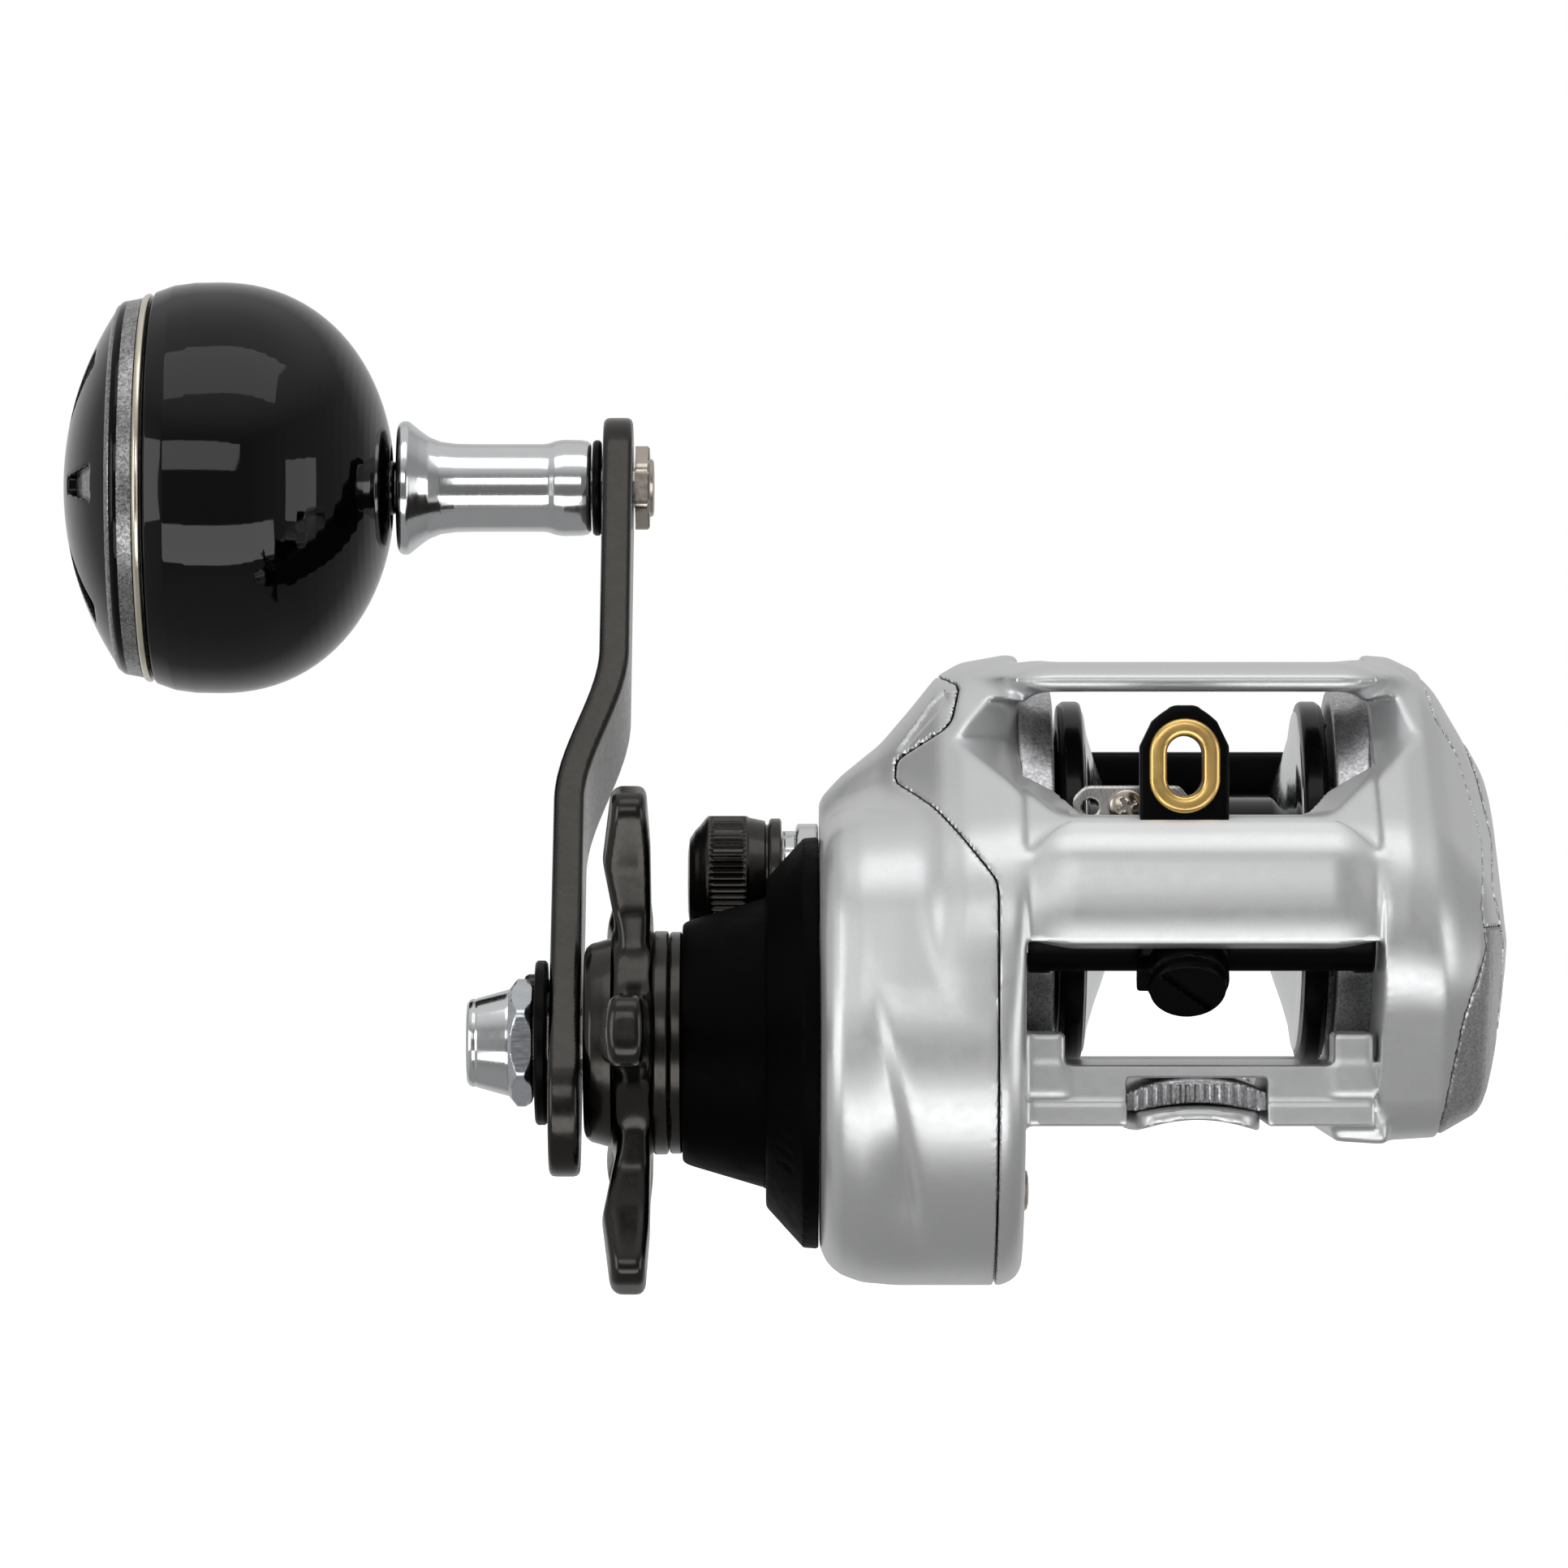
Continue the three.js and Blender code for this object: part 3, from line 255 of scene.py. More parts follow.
def start_points(value, cells, axes, step):
    """The middle of each crossed cell's edge crossings."""
    total = np.zeros((len(cells), 3))
    count = np.zeros((len(cells), 1))
    corners = [(i, j, k) for i in (0, 1) for j in (0, 1) for k in (0, 1)]
    at = {c: value[cells[:, 0] + c[0], cells[:, 1] + c[1], cells[:, 2] + c[2]] for c in corners}
    for a in corners:
        for b in corners:
            if sum(abs(p - q) for p, q in zip(a, b)) != 1 or a > b:
                continue
            va, vb = at[a], at[b]
            crossed = (va < 0) != (vb < 0)
            t = np.where(crossed, va / np.where(crossed, va - vb, 1), 0)[:, None]
            place = np.asarray(a) + t * (np.asarray(b) - np.asarray(a))
            total += np.where(crossed[:, None], place, 0)
            count += crossed[:, None]
    origin = np.stack([axes[i][cells[:, i]] for i in range(3)], axis=1)
    return origin + total / np.maximum(count, 1) * step


def gradient(points, field, step=0.02):
    """The field's slope at each point."""
    parts = []
    for i in range(3):
        shift = np.zeros(3)
        shift[i] = step
        ahead, behind = points + shift, points - shift
        parts.append((field(*ahead.T) - field(*behind.T)) / (2 * step))
    return np.stack(parts, axis=1)


def pull(points, field, step):
    """One step of each point along the field's slope to its zero."""
    slope = gradient(points, field)
    size = np.maximum((slope ** 2).sum(axis=1, keepdims=True), 1e-4)
    move = -field(*points.T)[:, None] * slope / size
    limit = 0.45 * step
    length = np.linalg.norm(move, axis=1, keepdims=True)
    return points + move * np.minimum(1, limit / np.maximum(length, 1e-9))


def crossing_faces(inside, number):
    """One face of four cells round each grid edge that crosses the surface."""
    faces = []
    for axis in range(3):
        u, v = (axis + 1) % 3, (axis + 2) % 3
        first = np.moveaxis(inside, (axis, u, v), (0, 1, 2))
        ids = np.moveaxis(number, (axis, u, v), (0, 1, 2))
        start, end = first[:-1, 1:-1, 1:-1], first[1:, 1:-1, 1:-1]
        for flip, where in ((False, start & ~end), (True, ~start & end)):
            a, b, c = np.nonzero(where)
            quad = np.stack([
                ids[a, b, c], ids[a, b + 1, c], ids[a, b + 1, c + 1], ids[a, b, c + 1]], axis=1)
            faces.append(quad[:, ::-1] if flip else quad)
    return np.concatenate(faces)


def rounded_profile(points, radius, steps=3):
    """A polyline with each inner corner replaced by a short arc."""
    points = [np.asarray(p, dtype=float) for p in points]
    out = [points[0]]
    for before, here, after in zip(points, points[1:], points[2:]):
        to_before, to_after = before - here, after - here
        length_before, length_after = np.linalg.norm(to_before), np.linalg.norm(to_after)
        cut = min(radius, 0.45 * length_before, 0.45 * length_after)
        start, end = here + to_before / length_before * cut, here + to_after / length_after * cut
        for i in range(steps + 1):
            t = i / steps
            out.append((1 - t) ** 2 * start + 2 * t * (1 - t) * here + t ** 2 * end)
    out.append(points[-1])
    return out


def lathe(name, axis, profile, radius=0.25, segments=96, closed=False, shape=None, sharp=40):
    """A profile of (x, r) turned about an axis along X. shape(angle, x, r) may change the radius."""
    points = [tuple(p) for p in profile]
    if closed:
        half = (np.asarray(points[0]) + np.asarray(points[-1])) / 2
        points = [tuple(half)] + points + [tuple(half)]
    rings = rounded_profile(points, radius) if radius else [np.asarray(p, float) for p in points]
    if closed:
        rings = rings[:-1]
    vertices, faces, index = [], [], []
    for x, r in rings:
        if r < 1e-6:
            index.append([len(vertices)] * segments)
            vertices.append((x, axis[0], axis[1]))
            continue
        row = []
        for i in range(segments):
            angle = 2 * math.pi * i / segments
            rr = shape(angle, x, r) if shape else r
            row.append(len(vertices))
            vertices.append((x, axis[0] + rr * math.cos(angle), axis[1] + rr * math.sin(angle)))
        index.append(row)
    pairs = list(zip(index, index[1:])) + ([(index[-1], index[0])] if closed else [])
    for low, high in pairs:
        for i in range(segments):
            j = (i + 1) % segments
            face = [low[i], high[i], high[j], low[j]]
            face = [v for n, v in enumerate(face) if v not in face[:n]]
            if len(face) > 2:
                faces.append(face)
    obj = new_object(name, vertices, faces)
    face_outwards(obj)
    return smooth(obj, sharp)


def face_outwards(obj):
    """Turn a closed mesh's faces round if it encloses a negative volume."""
    mesh = obj.data
    mesh.calc_loop_triangles()
    co = np.empty(len(mesh.vertices) * 3)
    mesh.vertices.foreach_get("co", co)
    co = co.reshape(-1, 3)
    tri = np.empty(len(mesh.loop_triangles) * 3, dtype=np.int32)
    mesh.loop_triangles.foreach_get("vertices", tri)
    a, b, c = (co[tri.reshape(-1, 3)[:, i]] for i in range(3))
    if np.einsum("ij,ij->i", a, np.cross(b, c)).sum() < 0:
        mesh.flip_normals()


# ---- finishes
class Finish:
    """A Principled material with object-space texture helpers. Texture scales are per metre."""

    def __init__(self, name, color, metallic, roughness, coat=0.0, coat_roughness=0.05, shine=0.5):
        self.material = bpy.data.materials.new(name)
        self.material.use_nodes = True
        self.nodes = self.material.node_tree.nodes
        self.links = self.material.node_tree.links
        self.shader = self.nodes["Principled BSDF"]
        for socket, value in (
                ("Base Color", (*color, 1)), ("Metallic", metallic), ("Roughness", roughness),
                ("Coat Weight", coat), ("Coat Roughness", coat_roughness), ("Specular IOR Level", shine)):
            self.shader.inputs[socket].default_value = value
        self.place = self.nodes.new("ShaderNodeTexCoord").outputs["Object"]

    def node(self, kind, vector=None, **values):
        """A node with some of its inputs set. An underscore stands for a space in an input's name."""
        node = self.nodes.new(kind)
        for socket, value in values.items():
            node.inputs[socket.replace("_", " ")].default_value = value
        if vector:
            self.links.new(vector, node.inputs["Vector"])
        return node

    def noise(self, scale, detail, stretch=None):
        """Smooth noise, finer along the axes that stretch makes larger."""
        vector = self.place
        if stretch:
            vector = self.node("ShaderNodeMapping", vector, Scale=stretch).outputs["Vector"]
        return self.node("ShaderNodeTexNoise", vector, Scale=scale, Detail=detail).outputs["Fac"]

    def flakes(self, scale):
        """A random value for each small cell."""
        return self.node("ShaderNodeTexVoronoi", self.place, Scale=scale).outputs["Color"]

    def spread(self, value, low, high, lowest=0.0, highest=1.0):
        """The value, moved from lowest..highest to low..high."""
        node = self.node("ShaderNodeMapRange", From_Min=lowest, From_Max=highest, To_Min=low, To_Max=high)
        self.links.new(value, node.inputs["Value"])
        return node.outputs["Result"]

    def tint(self, value, dark, light):
        """The surface's colour, from dark to light."""
        node = self.nodes.new("ShaderNodeMix")
        node.data_type = "RGBA"
        node.inputs[6].default_value = (*dark, 1)
        node.inputs[7].default_value = (*light, 1)
        self.links.new(value, node.inputs[0])
        self.links.new(node.outputs[2], self.shader.inputs["Base Color"])

    def bump(self, height, distance, strength):
        """Raised grain, whose height is given in metres."""
        node = self.node("ShaderNodeBump", Strength=strength, Distance=distance)
        self.links.new(height, node.inputs["Height"])
        self.links.new(node.outputs["Normal"], self.shader.inputs["Normal"])


NOISE_RANGE = (0.3, 0.7)  # where nearly all of a noise's values lie


def grained(name, base, tint, rough, bump=None, share=(0, 1), **gloss):
    """A finish from its base (colour, metallic, roughness) and the grains of its tint, roughness and bump.

    A grain is (scale,) for flakes, or (scale, detail) and perhaps a stretch for noise.
    """
    f = Finish(name, *base, **gloss)
    grain, dark, light = tint
    f.tint(f.noise(*grain) if len(grain) > 1 else f.spread(f.flakes(*grain), *share), dark, light)
    grain, least, most = rough
    value = (f.spread(f.noise(*grain), least, most, *NOISE_RANGE) if len(grain) > 1
             else f.spread(f.flakes(*grain), least, most))
    f.links.new(value, f.shader.inputs["Roughness"])
    if bump:
        grain, height, strength = bump
        f.bump(f.noise(*grain), height, strength)
    return f.material


# Each finish, as grained() takes it. Heights are in metres.
FINISHES = {
    "silver_paint": dict(
        base=((0.74, 0.745, 0.755), 0.72, 0.38), coat=0.3, coat_roughness=0.06, share=(0.2, 0.85),
        tint=((9000,), (0.69, 0.695, 0.70), (0.78, 0.785, 0.79)),
        rough=((900, 2), 0.36, 0.41), bump=((6000, 2), 0.000002, 0.2)),
    "bare_casting": dict(
        base=((0.56, 0.56, 0.56), 1.0, 0.38), tint=((3800,), (0.36, 0.36, 0.37), (0.74, 0.74, 0.75)),
        rough=((2600,), 0.28, 0.5), bump=((2600, 3), 0.00003, 0.5)),
    "band_grey": dict(
        base=((0.46, 0.46, 0.465), 0.9, 0.36), coat=0.2, coat_roughness=0.2,
        tint=((5000,), (0.33, 0.33, 0.335), (0.64, 0.64, 0.65)),
        rough=((1500, 3), 0.3, 0.42), bump=((3600, 3), 0.00002, 0.5)),
    "matte_black": dict(
        base=((0.0015, 0.0015, 0.0016), 0.0, 0.55), shine=0.03,
        tint=((700, 3), (0.001, 0.001, 0.0011), (0.0022, 0.0022, 0.0024)),
        rough=((500, 2), 0.44, 0.56), bump=((6000, 2), 0.00001, 0.5)),
    "gunmetal": dict(
        base=((0.045, 0.042, 0.039), 0.95, 0.24), coat=0.12, coat_roughness=0.08,
        tint=((350, 3), (0.04, 0.037, 0.034), (0.052, 0.049, 0.045)),
        rough=((1200, 3), 0.19, 0.29), bump=((3000, 2), 0.000003, 0.3)),
    "black_anodise": dict(
        base=((0.007, 0.007, 0.0075), 0.7, 0.2), coat=0.12, coat_roughness=0.06, shine=0.2,
        tint=((500, 2), (0.005, 0.005, 0.0055), (0.009, 0.009, 0.0095)),
        rough=((1600, 2, (6, 1, 1)), 0.18, 0.28)),
    "gloss_black": dict(
        base=((0.0008, 0.0008, 0.0009), 0.0, 0.04), shine=0.36,
        tint=((60, 2), (0.001, 0.001, 0.0012), (0.0016, 0.0016, 0.0018)),
        rough=((250, 2), 0.03, 0.055), bump=((45, 1), 0.00001, 0.08)),
    "dark_chrome": dict(
        base=((0.016, 0.016, 0.0165), 0.9, 0.07), shine=0.3,
        tint=((120, 2), (0.013, 0.013, 0.0135), (0.02, 0.02, 0.0205)), rough=((400, 2), 0.05, 0.10)),
    "chrome": dict(
        base=((0.76, 0.77, 0.78), 1.0, 0.13), tint=((200, 2), (0.72, 0.73, 0.74), (0.79, 0.80, 0.81)),
        rough=((900, 3, (8, 1, 1)), 0.09, 0.18)),
    "steel": dict(
        base=((0.58, 0.57, 0.55), 1.0, 0.28), tint=((600, 3), (0.52, 0.51, 0.49), (0.64, 0.63, 0.61)),
        rough=((1400, 3, (10, 1, 1)), 0.2, 0.36), bump=((2400, 2, (12, 1, 1)), 0.000006, 0.4)),
    "nickel": dict(
        base=((0.55, 0.49, 0.42), 1.0, 0.22), tint=((500, 3), (0.50, 0.44, 0.38), (0.61, 0.55, 0.48)),
        rough=((1500, 3), 0.17, 0.3)),
    "brushed_hex": dict(
        base=((0.6, 0.63, 0.66), 1.0, 0.22),
        tint=((260, 4, (1, 1, 7)), (0.50, 0.53, 0.56), (0.72, 0.74, 0.77)),
        rough=((600, 4, (1, 1, 6)), 0.16, 0.34), bump=((260, 3, (1, 1, 4)), 0.00003, 0.4)),
    "champagne": dict(
        base=((0.78, 0.73, 0.60), 0.85, 0.2), coat=0.3,
        tint=((900, 2), (0.74, 0.69, 0.56), (0.83, 0.78, 0.66)),
        rough=((1200, 2), 0.16, 0.26)),
    "gold": dict(
        base=((0.93, 0.61, 0.21), 1.0, 0.16), tint=((400, 3), (0.88, 0.56, 0.17), (0.97, 0.66, 0.25)),
        rough=((700, 2), 0.27, 0.33)),
    "brass": dict(
        base=((0.70, 0.50, 0.22), 1.0, 0.28), tint=((500, 3), (0.62, 0.44, 0.18), (0.78, 0.58, 0.28)),
        rough=((1400, 3, (10, 1, 1)), 0.22, 0.36)),
    "glitter": dict(
        base=((0.3, 0.3, 0.3), 0.9, 0.3), coat=0.3, tint=((4200,), (0.12, 0.12, 0.122), (0.5, 0.5, 0.505)),
        rough=((3400,), 0.2, 0.5), bump=((3800, 2), 0.00003, 0.6)),
    "black_plastic": dict(
        base=((0.0018, 0.0018, 0.002), 0.0, 0.34), shine=0.07,
        tint=((500, 2), (0.0014, 0.0014, 0.0015), (0.0026, 0.0026, 0.0028)),
        rough=((900, 3), 0.28, 0.42), bump=((4200, 2), 0.000012, 0.5)),
    "carbon": dict(
        base=((0.02, 0.02, 0.02), 0.1, 0.5), tint=((2500, 2), (0.012, 0.012, 0.012), (0.035, 0.035, 0.035)),
        rough=((2000, 2), 0.4, 0.6)),
}
MATERIALS = {name: grained(name, **recipe) for name, recipe in FINISHES.items()}

# The record's slot for each finish that isn't a slot itself.
SLOTS = {"band_grey": "bare_casting", "dark_chrome": "chrome", "nickel": "steel", "brushed_hex": "chrome",
         "champagne": "gold"}


def floor_finish():
    """Pale paper, lit enough from within to meet the white backdrop without an edge."""
    f = Finish("floor_finish", (0.85, 0.85, 0.85), 0.0, 0.9)
    f.tint(f.noise(8, 2), (0.84, 0.84, 0.84), (0.86, 0.86, 0.86))
    f.shader.inputs["Emission Color"].default_value = (1, 1, 1, 1)
    f.shader.inputs["Emission Strength"].default_value = 0.8
    return f.material


# ---- placing pieces
def put(obj, material, body, *nodes):
    """Give a piece its finish, the body it rides on and the CAD nodes it stands for."""
    obj.data.materials.clear()
    obj.data.materials.append(MATERIALS[material])
    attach(obj, body)
    if nodes:
        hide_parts(*nodes)
    SLOTS.get(material, material)
    return obj


def carved(name, field, low, high, steps, material, body, *nodes, sharp=32):
    """A piece from a distance field."""
    step = steps[0]
    return put(surface(name, field, low, high, step, sharp), material, body, *nodes)


def turned(name, axis, profile, radius, segments, material, body, *nodes, **lathe_options):
    """A piece turned about an axis, with its corners rounded to a radius."""
    return put(lathe(name, axis, profile, radius, segments, **lathe_options), material, body, *nodes)


def turned_ring(name, axis, profile, radius, segments, material, body, *nodes):
    """A turned piece whose profile closes on itself."""
    return turned(name, axis, profile, radius, segments, material, body, *nodes, closed=True)


# ---- body shells
PALM_DISCS = [(*SPOOL, FRAME_R), FRONT, (-20.0, 8.0, 10.9), (DRIVE[0], DRIVE[1], 10.9)]
PALM_OUTLINE = stretched_outline(PALM_DISCS)

# The seam between the frame and the gear-side cover, and the two seams of the palm side, as (z, x) stops.
GEAR_SEAM = [(-22, -23.3), (26.5, -23.3), (28.2, -23.6), (33.1, -27.5), (36.3, -30.4), (38.2, -33.0),
             (39.3, -35.0), (42.0, -34.8), (45.6, -29.2), (46.6, -28.3), (51.0, -27.2), (52.4, -30.6),
             (58, -31.0)]
PALM_SEAM = [(-5, 28.4), (-1.2, 28.9), (5.9, 30.0), (12.0, 31.0), (20.0, 33.6), (25.0, 33.1), (32.3, 34.2),
             (36.0, 33.6), (42.7, 32.0), (46.8, 29.4), (51.9, 28.4), (58, 28)]
PALM_OUTER_SEAM = [(-5, 33.2), (2.8, 34.8), (6.7, 35.8), (19.7, 36.4), (26.7, 34.9), (32.4, 36.0),
                   (39.6, 34.9), (44.1, 33.7), (47.5, 32.6), (58, 31)]

# How far each side's outline has drawn in at x, as (x, inset) stops.
CASE_DRAW = [(-45, 6.0), (-44.0, 4.4), (-43.2, 2.7), (-41.6, 1.3), (-39, 0.35), (-35, 0), (-22.4, 0),
             (-20.8, 0.8), (-19.6, 2.6)]
BUMP_DRAW = [(-45, 18.5), (-43.9, 17.4), (-41.3, 14.6), (-36.6, 10.8), (-33, 6.6), (-29.8, 2.6), (-27, 1.0),
             (-21.4, 0), (-18, 0.8)]
PALM_TOP_DRAW = [(18, 1.0), (20.6, 0), (24.5, 0.3), (27.8, 1.9), (30, 4.2), (33.6, 10.3), (36, 14.6),
                 (37.1, 19.2), (38.0, 26), (39, 34)]
PALM_LOW_DRAW = [(18, 0.8), (20.6, 0), (28.7, 0.5), (33.4, 3.2), (34.5, 5.3), (36.2, 13.7), (37.2, 20),
                 (38.0, 26), (39, 34)]


def crease(x, z):
    """How deep the cover's swept crease is: a valley that is steep on one flank and fades upwards."""
    across = x - along(z, [(-22, -32.6), (-10, -33.8), (0, -35.4), (12, -38.0), (24, -40.0)])
    flank = np.where(across > 0, np.exp(-(across / 1.6) ** 2), np.exp(-(across / 5.0) ** 2))
    blade = np.where(across > 0, np.exp(-(across / 0.9) ** 2), np.exp(-(across / 2.6) ** 2))
    valley = 1.2 * flank * ramp(z, -19, -9) * (1 - ramp(z, 2, 24))
    return valley + 0.8 * blade * np.exp(-((z + 7.5) / 4.5) ** 2)


def gear_side_field(x, y, z):
    """The whole gear side: the case round the handle shaft and the bump over the spool, blended."""
    case_discs = [(*DRIVE, CASE_R), (FRONT[0] + 1, FRONT[1] - 2, FRONT[2] - 1.2)]
    bump_discs = [(*SPOOL, FRAME_R), FRONT, (DRIVE[0] + 6, DRIVE[1] + 4, 18)]
    case = discs_field(y, z, case_discs) + along(x, CASE_DRAW) + crease(x, z)
    bump = discs_field(y, z, bump_discs) + along(x, BUMP_DRAW)
    return smax(smin(case, bump, 4), -44.0 - x, 1.0)


def palm_draw(x, z):
    """How far the palm side has drawn in at x, which is sooner at the top than at the bottom."""
    share = ramp(z, 8, 42)
    return along(x, PALM_LOW_DRAW) * (1 - share) + along(x, PALM_TOP_DRAW) * share


def palm_split(x, y, z, seam_stops):
    """Positive outside a seam of the palm side, whose joint runs in at a slant for 3 mm."""
    seam = along(z, seam_stops)
    lean = np.maximum(inset_field(y, z, PALM_OUTLINE) + palm_draw(seam, z), -3)
    return 0.7 * (x - seam - lean)


PALM_FACE = 37.5
PALM_SKIN = 2.5  # how far under the outside the palm side is hollow


def palm_side_field(x, y, z):
    """The whole palm side, which ends in a slightly domed face."""
    face = x - PALM_FACE + 0.0008 * ((y + 6) ** 2 + (z - 20) ** 2)
    return smax(inset_field(y, z, PALM_OUTLINE) + palm_draw(x, z), face, 0.8)


# The window between the top bar and the hood, as (x, z) corners.
WINDOW = [(-16.8, 35.6), (16.4, 35.6), (27.0, 44.7), (24.4, 50.2), (-23.7, 49.6), (-28.4, 44.2)]
WINDOW_MIDDLE = 0.6
WINDOW_DEPTH = 6.5


def window_plan(x, depth, z):
    """The front opening's outline, which draws in as it goes deeper than the outer surface."""
    narrow = 1 - 0.3 * np.clip(depth / WINDOW_DEPTH, 0, 1)
    return polygon_field((x - WINDOW_MIDDLE) / narrow + WINDOW_MIDDLE, z, WINDOW, 1.0) * 0.8


# Cross-sections of the bars that join the side plates, as (y, z) corners.
HOOD = [(-33.4, 35.6), (-36.9, 32.2), (-37.9, 29.0), (-37.9, 23.4), (-36.4, 20.9), (-33.6, 20.4)]
TOP_BAR = [(-17.6, 50.1), (-5.0, 50.3), (-4.0, 52.0), (-6.5, 53.8), (-15.0, 53.6), (-18.2, 51.8)]
BASE = [(-31.0, -0.7), (20.0, -0.7), (20.0, 3.0), (16.0, 6.4), (-30.0, 6.4), (-31.0, 4.0)]
HOOD_FLAT = 14.5  # half the hood's straight length, past which it draws in to the side plates
BAR_FLAT = 16.5  # the same for the top bar
BASE_END = 20.6  # the base's end, which stays under the palm side


def counter_clockwise(points):
    """The same outline, turned so that it runs counter-clockwise."""
    area = sum(u0 * v1 - u1 * v0 for (u0, v0), (u1, v1) in zip(points, points[1:] + points[:1]))
    return points if area > 0 else points[::-1]


def frame_sides(x, y, z):
    """The two side plates and the front skin between them, with the window's bevelled surround."""
    gear_side, palm_side = gear_side_field(x, y, z), palm_side_field(x, y, z)
    middle = discs_field(y, z, PALM_DISCS[:2])
    depth = -np.where(x < JAMB_LEFT, gear_side, np.where(x > JAMB_RIGHT, palm_side, middle))
    plan = window_plan(x, depth, z)
    window = np.maximum(plan, np.minimum(depth - WINDOW_DEPTH, slab(x, JAMB_LEFT, JAMB_RIGHT)))
    backing = np.maximum(plan - 1.8, depth - WINDOW_DEPTH - 2.5)
    hollow = np.maximum(smax(gear_side + 2.2, x + 23.3, 0.3), -backing)
    left = smax(smax(gear_side, x - JAMB_LEFT, 0.7), along(z, GEAR_SEAM) + SEAM - x, 0.4)
    left = smax(left, -hollow, 0.3)
    right = smax(smax(palm_side, JAMB_RIGHT - x, 0.7), SEAM + palm_split(x, y, z, PALM_SEAM), 0.4)
    skin = smax(smax(middle + 0.8, -(middle + 4.6), 0.4), slab(x, JAMB_LEFT - 1, JAMB_RIGHT + 1), 0.2)
    skin = smax(skin, np.maximum(np.maximum(21.0 - z, z - 46.0), y + 20), 0.4)
    return smax(smin(smin(left, skin, 0.8), right, 0.8), -window, 0.5)


def frame_base(x, y, z):
    """The plate over the foot, its raised corners and the ledge at the palm end."""
    across = slab(x, JAMB_LEFT - 1.5, BASE_END)
    base = np.maximum(polygon_field(y, z, BASE, 0.5), across)
    front_step = box_field(x, y, z, (-22, -34, 2.1), (22.6, -29.6, 9), 0.3)
    base = smax(base, -front_step, 0.3)
    steps = np.minimum(
        box_field(x, y, z, (-21.5, -29.7, 3), (-15.4, -22, 10.2), 0.7),
        box_field(x, y, z, (15.9, -29.7, 3), (BASE_END, -22, 10.2), 0.7))
    ledge = box_field(x, y, z + 0.06 * (x - 21), (15.9, -27.6, -2.9), (22.5, 14, 5), 1.0)
    low = smin(smin(base, steps, 0.8), ledge, 1.4)
    low = smax(low, 22.5 - radius_about(SPOOL, y, z), 0.4)
    channel = box_field(x, y, z, (FOOT_X[0] - 0.25, -50, -9), (FOOT_X[1] + 0.25, 50, 4.9), 0.5)
    return smax(low, -channel, 0.3)


def frame_field(x, y, z):
    """The whole frame: side plates, hood, top bar and base, with the spool's well and the shafts' holes."""
    across = slab(x, JAMB_LEFT - 1.5, JAMB_RIGHT + 1.5)
    fade = np.maximum(np.abs(x - WINDOW_MIDDLE) - HOOD_FLAT, 0)
    hood = smax(polygon_field(y, z, counter_clockwise(HOOD), 1.0) + 0.07 * fade * fade, across - 2.5, 0.2)
    thin = np.maximum(np.abs(x - WINDOW_MIDDLE) - BAR_FLAT, 0)
    bar = smax(polygon_field(y, z, counter_clockwise(TOP_BAR), 1.0) + 0.05 * thin * thin, across - 3.5, 0.2)
    body = smin(smin(smin(frame_sides(x, y, z), hood, 2.6), bar, 4.6), frame_base(x, y, z), 1.0)
    spool_axis = radius_about(SPOOL, y, z)
    well = smax(spool_axis - 24.6, slab(x, JAMB_LEFT, JAMB_RIGHT), 0.2)
    body = smax(body, -well, 0.3)
    palm_bore = np.maximum(palm_hollow(x, y, z, 19.6), 20.0 - x)
    holes = np.minimum(np.minimum(spool_axis - 5.4, radius_about(DRIVE, y, z) - 2.9),
                       radius_about(WORM, y, z) - 3.4)
    holes = np.maximum(holes, x + 18)
    return smax(smax(body, -palm_bore, 0.3), -holes, 0.3)


def gear_cover_field(x, y, z):
    """The silver shell over the gears."""
    whole = gear_side_field(x, y, z)
    shell = smax(whole, -(whole + 2.1), 0.2)
    outer = smax(shell, x - along(z, GEAR_SEAM) + SEAM, 0.4)
    drive_hole = radius_about(DRIVE, y, z) - 10.4
    spool_hole = radius_about(SPOOL, y, z) - 5.3
    holes = np.maximum(np.minimum(drive_hole, spool_hole), x + 38)
    return smax(smax(outer, -holes, 0.3), -hook_recess(x, y, z), 0.3)


HOOK = (-32.4, 47.2)  # the recess's middle, as (x, z)


def hook_recess(x, y, z):
    """The slim hooked recess on the cover's upper slope."""
    whole = gear_side_field(x, y, z)
    across = (x - HOOK[0]) * 0.74 - (z - HOOK[1]) * 0.67
    along_it = (x - HOOK[0]) * 0.67 + (z - HOOK[1]) * 0.74
    plan = smax(np.abs(across) - 1.5, np.abs(along_it) - 4.4, 0.8)
    return np.maximum(np.maximum(plan, -(whole + 0.7)), y + 6)


BAND_SPLIT = 22.5  # height where the band's grain ends


def palm_hollow(x, y, z, radius=17.8):
    """The room inside the palm side, which stays well under its face."""
    return np.maximum(radius_about(SPOOL, y, z) - radius, palm_side_field(x + PALM_SKIN, y, z) + 0.5)


def palm_band_field(x, y, z):
    """The band between the palm side's two seams."""
    whole = palm_side_field(x, y, z) + PALM_GAP
    part = smax(whole, PALM_GAP - palm_split(x, y, z, PALM_SEAM), 0.4)
    part = smax(part, PALM_GAP + palm_split(x, y, z, PALM_OUTER_SEAM), 0.4)
    return smax(part, -palm_hollow(x, y, z), 0.3)


def palm_band_low(x, y, z):
    """The band's grained lower part."""
    return smax(palm_band_field(x, y, z), z - BAND_SPLIT, 0.1)


def palm_band_high(x, y, z):
    """The band's painted upper part."""
    return smax(palm_band_field(x, y, z), BAND_SPLIT + 0.05 - z, 0.1)


